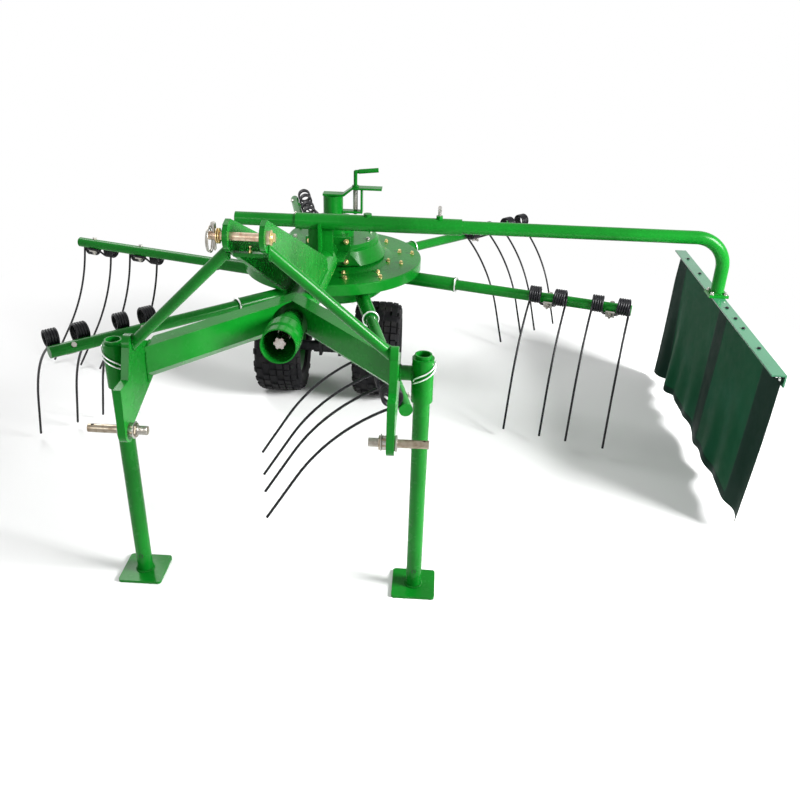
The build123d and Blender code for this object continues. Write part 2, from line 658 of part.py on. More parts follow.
# Rotor disc: a pan with a turned-down rim, a low dome and the boss that runs in the gearbox
rim_z = DISC_TOP_Z - DISC_RIM
under_z = DISC_TOP_Z - DISC_PLATE
disc = turned(
    [
        (ROTOR_BORE_R, under_z),
        (DISC_R - DISC_PLATE, under_z),
        (DISC_R - DISC_PLATE, rim_z),
        (DISC_R, rim_z),
        (DISC_R, DISC_TOP_Z - 3),
        (DISC_R - 3, DISC_TOP_Z),
        (DOME_FOOT_R, DISC_TOP_Z),
        (DOME_R, DISC_TOP_Z + DISC_DOME),
        (BOSS_R, DISC_TOP_Z + DISC_DOME),
        (BOSS_R, boss_z),
        (ROTOR_BORE_R, boss_z),
    ],
    rotor_place,
)
pieces["rotor_disc"] = disc

# Cam housing under the disc, which turns with it and is bored for the arm sockets
hub = turned(
    [
        (ROTOR_BORE_R, under_z),
        (ROTOR_BORE_R, HUB_BOTTOM_Z),
        (HUB_BOTTOM_R - 12, HUB_BOTTOM_Z),
        (HUB_BOTTOM_R, HUB_BOTTOM_Z + 12),
        (HUB_TOP_R, under_z),
        (HUB_TOP_R - HUB_WALL, under_z),
        (HUB_BOTTOM_R - HUB_WALL, HUB_BOTTOM_Z + HUB_WALL + 6),
        (HUB_BOTTOM_R - HUB_WALL - 8, HUB_BOTTOM_Z + HUB_WALL),
        (ROTOR_BORE_R + HUB_WALL, HUB_BOTTOM_Z + HUB_WALL),
        (ROTOR_BORE_R + HUB_WALL, under_z),
    ],
    rotor_place,
)


def arm_place(index):
    """Where an arm's own frame sits: X along the arm, Y towards the way it runs, Z up."""
    turn = ARM_PHASE_DEG + index * 360 / ARM_COUNT
    return Pos(0, ROTOR_Y, ARM_Z) * Rot(0, 0, turn) * Pos(0, ARM_OFFSET, 0)


arm_solids = []
for index in range(ARM_COUNT):
    place = arm_place(index)
    swing = Rot(-TINE_TRAIL_DEG[index], 0, 0)
    socket = tube((SOCKET_START, 0, 0), (SOCKET_END, 0, 0), SOCKET_R, ARM_R + SEAT_GAP)
    socket += tube((SOCKET_END - RING_WIDE, 0, 0), (SOCKET_END, 0, 0), RING_R, ARM_R + SEAT_GAP)
    half_saddle = SADDLE_WIDE / 2
    saddle_foot = under_z - ARM_Z - SADDLE_PLATE
    saddle = box(SADDLE_START, SADDLE_END, -half_saddle, half_saddle, saddle_foot, under_z - ARM_Z)
    saddle += box(SADDLE_START, SADDLE_END, -SOCKET_R, SOCKET_R, 0, under_z - ARM_Z)
    saddle -= tube((0, 0, 0), (ARM_END, 0, 0), SOCKET_R - 1)
    arm = tube((ARM_START, 0, 0), (ARM_END - ARM_WALL, 0, 0), ARM_R, ARM_R - ARM_WALL)
    arm += tube((ARM_END - ARM_WALL, 0, 0), (ARM_END, 0, 0), ARM_R)
    for station in TINE_STATIONS:
        hole = tube((station, 0, -ARM_R * 2), (station, 0, ARM_R * 2), CLAMP_BOLT_R + SEAT_GAP)
        arm -= swing * hole
    bridge = tube((ARM_START, 0, 0), (ARM_START + RING_WIDE, 0, 0), SOCKET_R - 1, ARM_R - ARM_WALL)
    arm_solids.append(place * (socket + saddle + arm + bridge))
    bore = tube((SOCKET_START - 1, 0, 0), (SOCKET_END, 0, 0), SOCKET_R)
    passage = box(SADDLE_START - 1, SADDLE_END, -half_saddle, half_saddle, saddle_foot, under_z - ARM_Z)
    passage += box(SADDLE_START - 1, SADDLE_END, -SOCKET_R, SOCKET_R, 0, under_z - ARM_Z)
    hub -= place * (bore + passage)
pieces["cam_housing"] = hub
pieces["rake_arms"] = Compound(arm_solids)

# Double tines and their clamps
wire_space = WIRE_R + COIL_PLAY
coil_half = (COIL_TURNS + 0.5) * wire_space
coil_away = ARM_R + COIL_GAP + COIL_R
mean_r = COIL_R - wire_space
lag = math.radians(COIL_LAG_DEG)
coil_y = -coil_away * math.cos(lag)
coil_z = -coil_away * math.sin(lag)
leg_y = coil_y + mean_r
bend = math.radians(TINE_BEND_DEG)
loop_run = math.hypot(LOOP_Y - coil_y, LOOP_DROP + coil_z)
loop_angle = math.atan2(-LOOP_DROP - coil_z, LOOP_Y - coil_y) - math.acos(mean_r / loop_run)
touch_y = coil_y + mean_r * math.cos(loop_angle)
touch_z = coil_z + mean_r * math.sin(loop_angle)


def tine_loop():
    """The wire between the two coils, which passes under the arm behind the clamp bolt."""
    x = COIL_SPACE / 2 + wire_space
    path = FilletPolyline(
        (-x, touch_y, touch_z),
        (-x, LOOP_Y, -LOOP_DROP),
        (x, LOOP_Y, -LOOP_DROP),
        (x, touch_y, touch_z),
        radius=LOOP_R,
    )
    towards = Vector(0, LOOP_Y - touch_y, -LOOP_DROP - touch_z)
    return sweep(Plane(origin=(-x, touch_y, touch_z), z_dir=towards) * Circle(WIRE_R), path=path)


def double_tine(station, trail):
    """One double tine in its arm's frame, trailing by an angle about the arm."""
    whole = tine_loop()
    for side in (-1, 1):
        inner = side * COIL_SPACE / 2
        outer = side * (COIL_SPACE / 2 + coil_half * 2)
        low, high = sorted((inner, outer))
        whole += tube((low, coil_y, coil_z), (high, coil_y, coil_z), COIL_R, COIL_R - wire_space * 2)
        x = outer - side * wire_space
        top = (x, leg_y, coil_z)
        knee = (x, leg_y, coil_z - TINE_UPPER)
        tip = (x, leg_y + TINE_LOWER * math.sin(bend), coil_z - TINE_UPPER - TINE_LOWER * math.cos(bend))
        path = FilletPolyline(top, knee, tip, radius=TINE_BEND_R)
        whole += sweep(Plane(origin=top, z_dir=(0, 0, -1)) * Circle(WIRE_R), path=path)
    return Rot(-trail, 0, 0) * Pos(station, 0, 0) * whole


def tine_clamp(station, trail):
    """The bolt through the arm, with the plate that holds the tine's loop under it."""
    plate_top = -LOOP_DROP - WIRE_R - SEAT_GAP
    plate_low = plate_top - CLAMP_THICK
    head_low = ARM_R + SEAT_GAP
    half = CLAMP_WIDE / 2
    clamp = box(-half, half, -CLAMP_LONG / 2, CLAMP_LONG / 2, plate_low, plate_top)
    clamp += tube((0, 0, plate_low - CLAMP_HEAD - CLAMP_TAIL), (0, 0, head_low), CLAMP_BOLT_R)
    for low in (head_low, plate_low - CLAMP_HEAD):
        clamp += Pos(0, 0, low) * extrude(RegularPolygon(CLAMP_HEAD_R, 6), CLAMP_HEAD)
    return Rot(-trail, 0, 0) * Pos(station, 0, 0) * clamp


clamp_solids = []
for index in range(ARM_COUNT):
    place = arm_place(index)
    trail = TINE_TRAIL_DEG[index]
    tines = [place * double_tine(station, trail) for station in TINE_STATIONS]
    clamp_solids += [place * tine_clamp(station, trail) for station in TINE_STATIONS]
    pieces["tines_" + str(index + 1)] = Compound(tines)
pieces["tine_clamps"] = Compound(clamp_solids)

# Sleeve of the boom on its post over the drive tube
sleeve_start = (SLEEVE_LEFT_X, BOOM_Y, BOOM_Z)
sleeve_end = (SLEEVE_RIGHT_X, BOOM_Y, BOOM_Z)
boom_sleeve = tube(sleeve_start, sleeve_end, BOOM_SLEEVE_R, BOOM_R + BOOM_SLEEVE_FIT)
post_low = drive_point(BOOM_Y - DRIVE_Y)[2]
post_y = (BOOM_Y - BOOM_POST_THICK / 2, BOOM_Y + BOOM_POST_THICK / 2)
post = box(-BOOM_POST_HALF_X, BOOM_POST_HALF_X, *post_y, post_low, BOOM_Z)
rib_y = (BOOM_Y - BOOM_RIB_FRONT, BOOM_Y + BOOM_RIB_BACK)
rib = box(-BOOM_POST_THICK / 2, BOOM_POST_THICK / 2, *rib_y, post_low, BOOM_Z)
post = (post + rib) - tube_envelope
post -= tube(sleeve_start, sleeve_end, BOOM_SLEEVE_R - 1)
tee_bore = tube((TEE_X, BOOM_Y, BOOM_Z), (TEE_X, BOOM_Y, BOOM_Z + BOOM_SLEEVE_R * 2), TEE_R + RUNNING_FIT)
boom_sleeve = boom_sleeve + post - tee_bore
cap_top = BOOM_Z + BOOM_SLEEVE_R + CAP_RISE
boom_sleeve += tube((CAP_X, BOOM_Y, BOOM_Z + BOOM_R + BOOM_SLEEVE_FIT * 2), (CAP_X, BOOM_Y, cap_top), CAP_R)
pieces["boom_sleeve"] = boom_sleeve

# Tee bolt that clamps the boom in its sleeve
tee_top = BOOM_Z + BOOM_SLEEVE_R + TEE_RISE
tee = tube((TEE_X, BOOM_Y, BOOM_Z + BOOM_R + SEAT_GAP), (TEE_X, BOOM_Y, tee_top), TEE_R)
tee += tube((TEE_X, BOOM_Y - TEE_BAR / 2, tee_top), (TEE_X, BOOM_Y + TEE_BAR / 2, tee_top), TEE_BAR_R)
pieces["boom_tee_bolt"] = tee

# Boom: a long tube, bent down at its outer end to the clamp plate of the curtain bar
boom_foot_z = BAR_Z + FOOT_PLATE
boom_path = FilletPolyline(
    (BOOM_LEFT_X, BOOM_Y, BOOM_Z), (BOOM_DROP_X, BOOM_Y, BOOM_Z), (BOOM_DROP_X, BOOM_Y, boom_foot_z), radius=BOOM_BEND_R
)
start_plane = Plane(origin=(BOOM_LEFT_X, BOOM_Y, BOOM_Z), z_dir=(1, 0, 0))
boom = sweep(start_plane * Circle(BOOM_R), path=boom_path)
boom -= sweep(start_plane * Circle(BOOM_R - BOOM_WALL), path=boom_path)
half_plate = FOOT_PLATE_SIDE / 2
foot_x = (BOOM_DROP_X - half_plate, BOOM_DROP_X + half_plate)
boom += box(*foot_x, BOOM_Y - half_plate, BOOM_Y + half_plate, BAR_Z, boom_foot_z)
pieces["boom"] = boom

# Curtain bar, an angle section with its top flange up
bar_left = BOOM_DROP_X - BAR_WIDE / 2
bar_right = BOOM_DROP_X + BAR_WIDE / 2
bar = box(bar_left, bar_right, BAR_FRONT_Y, BAR_BACK_Y, BAR_Z - BAR_WALL, BAR_Z)
bar += box(bar_right - BAR_WALL, bar_right, BAR_FRONT_Y, BAR_BACK_Y, BAR_Z - BAR_TALL, BAR_Z)
pieces["curtain_bar"] = bar

# Swath curtain, hung on the inner face of the angle
curtain_x = bar_right - BAR_WALL - SEAT_GAP
curtain_top = BAR_Z - BAR_WALL - CURTAIN_TOP_GAP
pieces["curtain"] = box(
    curtain_x - CURTAIN_THICK, curtain_x, BAR_FRONT_Y + 4, BAR_BACK_Y - 4, curtain_top - CURTAIN_TALL, curtain_top
)

# Move the origin to the middle of the footprint
whole = Compound([solid for piece in pieces.values() for solid in piece.solids()])
bounds = whole.bounding_box()
shift = Vector(-(bounds.min.X + bounds.max.X) / 2, -(bounds.min.Y + bounds.max.Y) / 2, -bounds.min.Z)

os.makedirs("parts", exist_ok=True)
for name, piece in pieces.items():
    export_step(Pos(shift) * piece, "parts/" + name + ".step")
print("shift", shift.X, shift.Y, shift.Z)
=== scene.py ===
import json
import logging
import math
from dataclasses import dataclass
from enum import Enum
from typing import Any, Callable, Iterable, Sequence

import bpy
from mathutils import Matrix, Vector

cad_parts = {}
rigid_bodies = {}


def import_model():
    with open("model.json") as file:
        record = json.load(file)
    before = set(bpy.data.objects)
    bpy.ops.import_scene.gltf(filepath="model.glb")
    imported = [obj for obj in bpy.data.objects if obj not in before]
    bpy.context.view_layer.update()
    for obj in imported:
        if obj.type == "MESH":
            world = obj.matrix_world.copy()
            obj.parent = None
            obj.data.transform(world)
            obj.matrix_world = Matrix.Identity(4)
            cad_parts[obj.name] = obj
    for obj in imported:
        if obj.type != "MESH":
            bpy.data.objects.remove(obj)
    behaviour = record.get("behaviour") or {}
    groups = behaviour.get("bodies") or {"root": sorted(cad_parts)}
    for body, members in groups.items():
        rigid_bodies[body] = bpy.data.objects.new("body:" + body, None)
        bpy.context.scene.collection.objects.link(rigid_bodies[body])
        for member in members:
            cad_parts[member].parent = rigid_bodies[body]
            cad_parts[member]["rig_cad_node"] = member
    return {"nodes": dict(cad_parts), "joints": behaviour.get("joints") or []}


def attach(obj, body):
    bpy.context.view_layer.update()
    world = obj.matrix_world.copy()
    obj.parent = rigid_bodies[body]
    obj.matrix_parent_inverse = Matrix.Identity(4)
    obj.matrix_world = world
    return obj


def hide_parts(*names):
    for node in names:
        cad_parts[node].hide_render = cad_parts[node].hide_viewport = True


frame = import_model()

LOG = logging.getLogger("rotary_rake")
Colour = tuple[float, float, float]
Place = tuple[float, float, float]
Pairs = tuple[tuple[float, float], ...]
Waves = tuple[tuple[float, float, float], ...]
UP = Vector((0.0, 0.0, 1.0))
FULL_TURN = 2 * math.pi


class Body(Enum):
    """The CAD bodies that pieces ride on."""

    ROOT = "root"
    ROTOR = "rotor"
    PTO = "pto"
    LEFT_WHEEL = "left_wheel"
    RIGHT_WHEEL = "right_wheel"
    LEFT_JACK = "left_jack"
    RIGHT_JACK = "right_jack"
    BOOM = "boom_assembly"


class Side(Enum):
    """The two sides of the machine, as the sign of X from its middle."""

    LEFT = -1
    RIGHT = 1


JACKS = ((Side.LEFT, Body.LEFT_JACK), (Side.RIGHT, Body.RIGHT_JACK))
WHEELS = ((Side.LEFT, Body.LEFT_WHEEL), (Side.RIGHT, Body.RIGHT_WHEEL))


class Layout:
    """Places on the machine, from the middle of the lower link pins on the ground, in metres."""

    ROTOR_BEHIND = 1.554

    def __init__(self) -> None:
        """Finds the machine in the frame by the rotor's joint."""
        rotor = next(joint for joint in frame["joints"] if joint["name"] == "rotor_spin")
        x, y, _ = rotor["pos_m"]
        self.origin = Vector((x, y - self.ROTOR_BEHIND, 0.0))

    def at(self, x: float, y: float, z: float) -> Vector:
        """A layout place in the frame.

        Args:
            x: metres towards the curtain's side.
            y: metres behind the lower link pins.
            z: metres above the ground.

        Returns:
            The place in the frame.
        """
        return self.origin + Vector((x, y, z))

    def rotor_matrix(self) -> Matrix:
        """The rotor's own frame on the ground below its axis."""
        return Matrix.Translation(self.at(0.0, self.ROTOR_BEHIND, 0.0))


LAYOUT = Layout()


class Shade:
    """A socket of a recipe's node tree, on which sums are written as Python expressions."""

    def __init__(self, recipe: "Recipe", socket: bpy.types.NodeSocket) -> None:
        """Wraps one output socket of the recipe's tree."""
        self.recipe = recipe
        self.socket = socket

    def _sum(self, operation: str, *values: "Shade | float") -> "Shade":
        """A Math node's result for some sockets or numbers."""
        return self.recipe.node("ShaderNodeMath", {"operation": operation}, dict(enumerate(values)))

    def __add__(self, other: "Shade | float") -> "Shade":
        """self + other."""
        return self._sum("ADD", self, other)

    def __radd__(self, other: float) -> "Shade":
        """other + self."""
        return self._sum("ADD", other, self)

    def __sub__(self, other: "Shade | float") -> "Shade":
        """self - other."""
        return self._sum("SUBTRACT", self, other)

    def __rsub__(self, other: float) -> "Shade":
        """other - self."""
        return self._sum("SUBTRACT", other, self)

    def __mul__(self, other: "Shade | float") -> "Shade":
        """self * other."""
        return self._sum("MULTIPLY", self, other)

    def __rmul__(self, other: float) -> "Shade":
        """other * self."""
        return self._sum("MULTIPLY", other, self)

    def __abs__(self) -> "Shade":
        """abs(self)."""
        return self._sum("ABSOLUTE", self)

    def wave(self) -> "Shade":
        """The sine of self."""
        return self._sum("SINE", self)

    def step(self, low: float, high: float) -> "Shade":
        """A smooth rise.

        Args:
            low: where it is 0.
            high: where it is 1.

        Returns:
            The rise, from 0 to 1.
        """
        ends = {"Value": self, "From Min": low, "From Max": high}
        return self.recipe.node("ShaderNodeMapRange", {"interpolation_type": "SMOOTHSTEP"}, ends, "Result")


class Recipe:
    """The node tree of one finish, or of the sky."""

    MIX_COLOURS = {"factor": 0, "a": 6, "b": 7, "out": 2}

    def __init__(self, owner: bpy.types.Material | bpy.types.World) -> None:
        """Starts an empty tree.

        Args:
            owner: the material or the sky that it belongs to.
        """
        owner.use_nodes = True
        self.owner = owner
        self.tree = owner.node_tree
        self.tree.nodes.clear()

    @classmethod
    def finish(cls, name: str) -> "Recipe":
        """An empty tree in a new material."""
        return cls(bpy.data.materials.new(name))

    def node(
        self,
        kind: str,
        settings: dict[str, Any] | None = None,
        sockets: dict[str | int, Any] | None = None,
        out: str | int = 0,
    ) -> Shade:
        """Adds any node.

        Args:
            kind: the node's type.
            settings: its settings, which are set first.
            sockets: values or links of its sockets.
            out: the output that is wanted.

        Returns:
            That output.
        """
        node = self.tree.nodes.new(kind)
        for key, value in (settings or {}).items():
            setattr(node, key, value)
        for key, value in (sockets or {}).items():
            if isinstance(value, Shade):
                self.tree.links.new(value.socket, node.inputs[key])
            elif isinstance(value, tuple) and len(value) == 3 and node.inputs[key].type == "RGBA":
                node.inputs[key].default_value = (*value, 1.0)
            else:
                node.inputs[key].default_value = value
        return Shade(self, node.outputs[out] if node.outputs else None)

    def place(self) -> Shade:
        """The point on the surface, in the object's own coordinates."""
        return self.node("ShaderNodeTexCoord", out="Object")

    def sheet_place(self) -> Shade:
        """The point on a sheet's own map."""
        return self.node("ShaderNodeTexCoord", out="UV")

    def parts(self, vector: Shade) -> tuple[Shade, ...]:
        """The X, Y and Z of a vector."""
        first = self.node("ShaderNodeSeparateXYZ", sockets={0: vector})
        return tuple(Shade(self, output) for output in first.socket.node.outputs)

    def looked_at(self) -> Shade:
        """Tells what looks at a surface.

        Returns:
            1 for the camera, a mirroring and a clear surface, 0 for the light that falls on others.
        """
        kinds = ("Camera", "Glossy", "Transmission")
        camera, glossy, clear = (self.node("ShaderNodeLightPath", out=f"Is {kind} Ray") for kind in kinds)
        return camera + glossy + clear

    def noise(self, scale: float, detail: float) -> Shade:
        """Soft noise over the surface.

        Args:
            scale: how many patches fit in a metre.
            detail: how many finer layers it has.

        Returns:
            The noise, from 0 to 1.
        """
        sockets = {"Vector": self.place(), "Scale": scale, "Detail": detail}
        return self.node("ShaderNodeTexNoise", sockets=sockets)

    def mix(self, first: "Colour | Shade", second: "Colour | Shade", share: "Shade | float") -> Shade:
        """A blend of two colours.

        Args:
            first: the colour at a share of 0.
            second: the colour at a share of 1.
            share: how much of the second.

        Returns:
            The blended colour.
        """
        index = self.MIX_COLOURS
        return self.node(
            "ShaderNodeMix",
            {"data_type": "RGBA"},
            {index["factor"]: share, index["a"]: first, index["b"]: second},
            index["out"],
        )

    def rounded(self, radius: float) -> Shade:
        """A normal that rounds sharp edges by a radius in metres."""
        return self.node("ShaderNodeBevel", {"samples": 4}, {"Radius": radius})

    def bump(self, height: Shade, distance: float, under: Shade | None = None) -> Shade:
        """A bumped normal.

        Args:
            height: the relief from 0 to 1.
            distance: its depth in metres.
            under: a normal that it lies on.

        Returns:
            The normal.
        """
        sockets: dict[str | int, Any] = {"Height": height, "Distance": distance, "Strength": 1.0}
        if under is not None:
            sockets["Normal"] = under
        return self.node("ShaderNodeBump", sockets=sockets)

    def surface(self, **sockets: Any) -> bpy.types.Material:
        """Ends the tree in a Principled shader.

        Args:
            sockets: the shader's sockets, with an underscore for each space.

        Returns:
            The finished material.
        """
        named = {key.replace("_", " "): value for key, value in sockets.items()}
        shader = self.node("ShaderNodeBsdfPrincipled", sockets=named)
        self.node("ShaderNodeOutputMaterial", sockets={"Surface": shader})
        return self.owner


@dataclass(frozen=True)
class Paint:
    """Gloss paint on steel, with orange peel, broad patches of deeper tone and a trace of dust."""

    name: str
    colour: Colour = (0.003, 0.172, 0.012)
    deep: Colour = (0.0015, 0.110, 0.007)
    dust: Colour = (0.014, 0.185, 0.022)
    roughness: float = 0.26
    coat: float = 0.06
    sheen: float = 0.12
    edge: float = 0.0016
    patches: float = 4.0
    clouds: float = 38.0
    specks: float = 420.0
    peel: tuple[float, float] = (260.0, 60.0)
    peel_depth: float = 0.00004
    coat_roughness: float = 0.06

    def material(self) -> bpy.types.Material:
        """Mixes the paint; patches, clouds, specks and peel count what fits in a metre.

        Returns:
            The paint's material.
        """
        recipe = Recipe.finish(self.name)
        broad = recipe.noise(self.patches, 4.0)
        cloud = recipe.noise(self.clouds, 5.0)
        speck = recipe.noise(self.specks, 2.0).step(0.66, 0.76)
        colour = recipe.mix(self.colour, self.deep, broad.step(0.35, 0.75))
        dusty = cloud.step(0.6, 0.95) * 0.3 + speck * 0.25
        colour = recipe.mix(colour, self.dust, dusty)
        fine, coarse = (recipe.noise(scale, 2.0) for scale in self.peel)
        normal = recipe.bump(fine * 0.7 + coarse * 0.3, self.peel_depth, recipe.rounded(self.edge))
        roughness = cloud * 0.16 + speck * 0.08 + (self.roughness - 0.08)
        return recipe.surface(
            Base_Color=colour, Roughness=roughness, Normal=normal, Coat_Weight=self.coat,
            Coat_Roughness=self.coat_roughness, Specular_IOR_Level=self.sheen,
        )


@dataclass(frozen=True)
class Plated:
    """Zinc or brass-coloured plating, mottled, with dull patches."""

    name: str
    colour: Colour = (0.44, 0.43, 0.40)
    mottle: Colour = (0.24, 0.20, 0.15)
    mottled: float = 0.5
    roughness: float = 0.34
    edge: float = 0.0006
    clouds: float = 70.0
    grain: float = 600.0
    grain_depth: float = 0.00006

    def material(self) -> bpy.types.Material:
        """Mixes the plating; clouds and grain count what fits in a metre.

        Returns:
            The plating's material.
        """
        recipe = Recipe.finish(self.name)
        cloud = recipe.noise(self.clouds, 5.0)
        fine = recipe.noise(self.grain, 3.0)
        colour = recipe.mix(self.colour, self.mottle, cloud.step(0.4, 0.75) * self.mottled)
        normal = recipe.bump(fine, self.grain_depth, recipe.rounded(self.edge))
        roughness = cloud * 0.25 + fine * 0.1 + (self.roughness - 0.17)
        return recipe.surface(Base_Color=colour, Metallic=1.0, Roughness=roughness, Normal=normal)


@dataclass(frozen=True)
class Blacked:
    """Black lacquer on spring steel or on a cast bracket, satin, with rubbed spots."""

    name: str
    colour: Colour = (0.004, 0.004, 0.006)
    rubbed: Colour = (0.035, 0.035, 0.040)
    roughness: float = 0.30
    sheen: float = 0.25
    edge: float = 0.0008
    clouds: float = 55.0
    grain: float = 330.0
    grain_depth: float = 0.00012

    def material(self) -> bpy.types.Material:
        """Mixes the lacquer; clouds and grain count what fits in a metre.

        Returns:
            The lacquer's material.
        """
        recipe = Recipe.finish(self.name)
        cloud = recipe.noise(self.clouds, 5.0)
        fine = recipe.noise(self.grain, 3.0)
        colour = recipe.mix(self.colour, self.rubbed, cloud.step(0.55, 0.85) * 0.6)
        normal = recipe.bump(fine, self.grain_depth, recipe.rounded(self.edge))
        roughness = cloud * 0.22 + (self.roughness - 0.06)
        return recipe.surface(
            Base_Color=colour, Roughness=roughness, Normal=normal, Specular_IOR_Level=self.sheen
        )


@dataclass(frozen=True)
class Machined:
    """Bare turned steel, with fine lathe marks along its length and a film of grease."""

    name: str
    colour: Colour = (0.50, 0.47, 0.45)
    film: Colour = (0.24, 0.16, 0.11)
    along: Colour = (0.0, 1.0, -0.063)
    marks: float = 3200.0
    mark_depth: float = 0.00004
    edge: float = 0.0006
    clouds: float = 60.0

    def material(self) -> bpy.types.Material:
        """Mixes the bare steel; clouds count in a metre, marks are radians in a metre.

        Returns:
            The bare steel's material.
        """
        recipe = Recipe.finish(self.name)
        along = recipe.node("ShaderNodeVectorMath", {"operation": "DOT_PRODUCT"},
                            {0: recipe.place(), 1: self.along}, "Value")
        marks = (along * self.marks).wave() * 0.5 + 0.5
        cloud = recipe.noise(self.clouds, 4.0)
        colour = recipe.mix(self.colour, self.film, cloud.step(0.4, 0.7) * 0.7)
        normal = recipe.bump(marks * cloud, self.mark_depth, recipe.rounded(self.edge))
        roughness = cloud * 0.3 + 0.12
        return recipe.surface(Base_Color=colour, Metallic=1.0, Roughness=roughness, Normal=normal)


@dataclass(frozen=True)
class Rubber:
    """Tyre rubber, a little greyed by dust in its pores."""

    name: str
    colour: Colour = (0.005, 0.005, 0.006)
    greyed: Colour = (0.030, 0.028, 0.026)
    sheen: float = 0.12
    edge: float = 0.0012
    clouds: float = 22.0
    pores: float = 520.0
    pore_depth: float = 0.0002

    def material(self) -> bpy.types.Material:
        """Mixes the rubber; clouds and pores count what fits in a metre.

        Returns:
            The rubber's material.
        """
        recipe = Recipe.finish(self.name)
        cloud = recipe.noise(self.clouds, 5.0)
        fine = recipe.noise(self.pores, 3.0)
        colour = recipe.mix(self.colour, self.greyed, cloud.step(0.45, 0.85) * 0.5)
        normal = recipe.bump(fine, self.pore_depth, recipe.rounded(self.edge))
        return recipe.surface(
            Base_Color=colour, Roughness=cloud * 0.2 + 0.55, Normal=normal, Specular_IOR_Level=self.sheen
        )


@dataclass(frozen=True)
class Tarpaulin:
    """Coated cloth on its own map: a plain weave under the coat, sewn bands and soft cloudy wear."""

    name: str
    width: float
    height: float
    bands: Pairs
    colour: Colour = (0.002, 0.046, 0.018)
    deep: Colour = (0.002, 0.009, 0.007)
    worn: Colour = (0.012, 0.080, 0.045)
    thread: float = 0.0016
    stitch: float = 0.006
    seam_in: float = 0.006
    hem: float = 0.028
    soft: float = 0.002
    relief: float = 0.0006
    sheen: float = 0.03
    clouds: float = 5.0
    streaks: float = 30.0

    def material(self) -> bpy.types.Material:
        """Mixes the coated cloth; each band is its middle and half its width, in metres across.

        Returns:
            The cloth's material.
        """
        recipe = Recipe.finish(self.name)
        u, v, _ = recipe.parts(recipe.sheet_place())
        across = u * self.width
        down = v * self.height
        turns = FULL_TURN / self.thread
        weave = (across * turns).wave() * (down * turns).wave() * 0.5 + 0.5
        cloud = recipe.noise(self.clouds, 5.0)
        streak = recipe.noise(self.streaks, 4.0)
        dashes = (down * (FULL_TURN / self.stitch)).wave().step(-0.2, 0.2)
        band: Shade | float = 0.0
        seam: Shade | float = 0.0
        for middle, half in self.bands:
            near = abs(across - middle)
            band = band + near.step(half + self.soft, half - self.soft)
            seam = seam + abs(near - (half - self.seam_in)).step(0.0012, 0.0006) * dashes
        colour = recipe.mix(self.colour, self.worn, cloud.step(0.45, 0.85) * 0.55)
        hem = down.step(self.hem + self.soft, self.hem - self.soft)
        band = band + hem - band * hem
        colour = recipe.mix(colour, self.deep, band * 0.85)
        colour = recipe.mix(colour, self.worn, seam * 0.8)
        relief = weave * 0.25 + streak * 0.35 + band * 0.9 + seam * 0.4
        normal = recipe.bump(relief, self.relief)
        roughness = streak * 0.2 + 0.42
        return recipe.surface(
            Base_Color=colour, Roughness=roughness, Normal=normal, Specular_IOR_Level=self.sheen
        )


Finish = Paint | Plated | Blacked | Machined | Rubber | Tarpaulin


class Finishes:
    """Every finish of the machine, made once and shared."""

    GREEN = Paint("green_gloss")
    WELD = Paint("green_over_weld", roughness=0.2, edge=0.0004)
    RIM_GREEN = Paint("green_rim", colour=(0.002, 0.120, 0.009), deep=(0.001, 0.07, 0.005), roughness=0.3)
    BAR_GREEN = Paint("green_bar", colour=(0.030, 0.150, 0.075), deep=(0.016, 0.105, 0.050), roughness=0.24,
                      coat=0.3, sheen=0.4)
    ZINC = Plated("zinc_plate")
    LINK = Plated("link_plate", colour=(0.30, 0.26, 0.20), mottle=(0.16, 0.11, 0.07), mottled=0.8)
    YELLOW = Plated("yellow_plate", colour=(0.72, 0.56, 0.27), mottle=(0.50, 0.40, 0.16), roughness=0.30)
    PIN = Plated("pin_plate", colour=(0.58, 0.46, 0.34), mottle=(0.40, 0.20, 0.13), mottled=0.8)
    BRIGHT = Plated("bright_ring", colour=(0.86, 0.87, 0.86), mottle=(0.62, 0.64, 0.62), roughness=0.3)
    SPRING = Blacked("spring_black")
    CASTING = Blacked("bracket_black", colour=(0.007, 0.007, 0.009), roughness=0.42)
    SHAFT = Machined("splined_steel")
    STRUT = Machined("strut_steel", along=(0.0, 0.0, 1.0))
    TYRE = Rubber("tyre_rubber")

    _made: dict[str, bpy.types.Material] = {}

    @classmethod
    def of(cls, finish: Finish) -> bpy.types.Material:
        """The material of a finish, made at its first use.

        Args:
            finish: the finish.

        Returns:
            Its material.
        """
        if finish.name not in cls._made:
            cls._made[finish.name] = finish.material()
        return cls._made[finish.name]


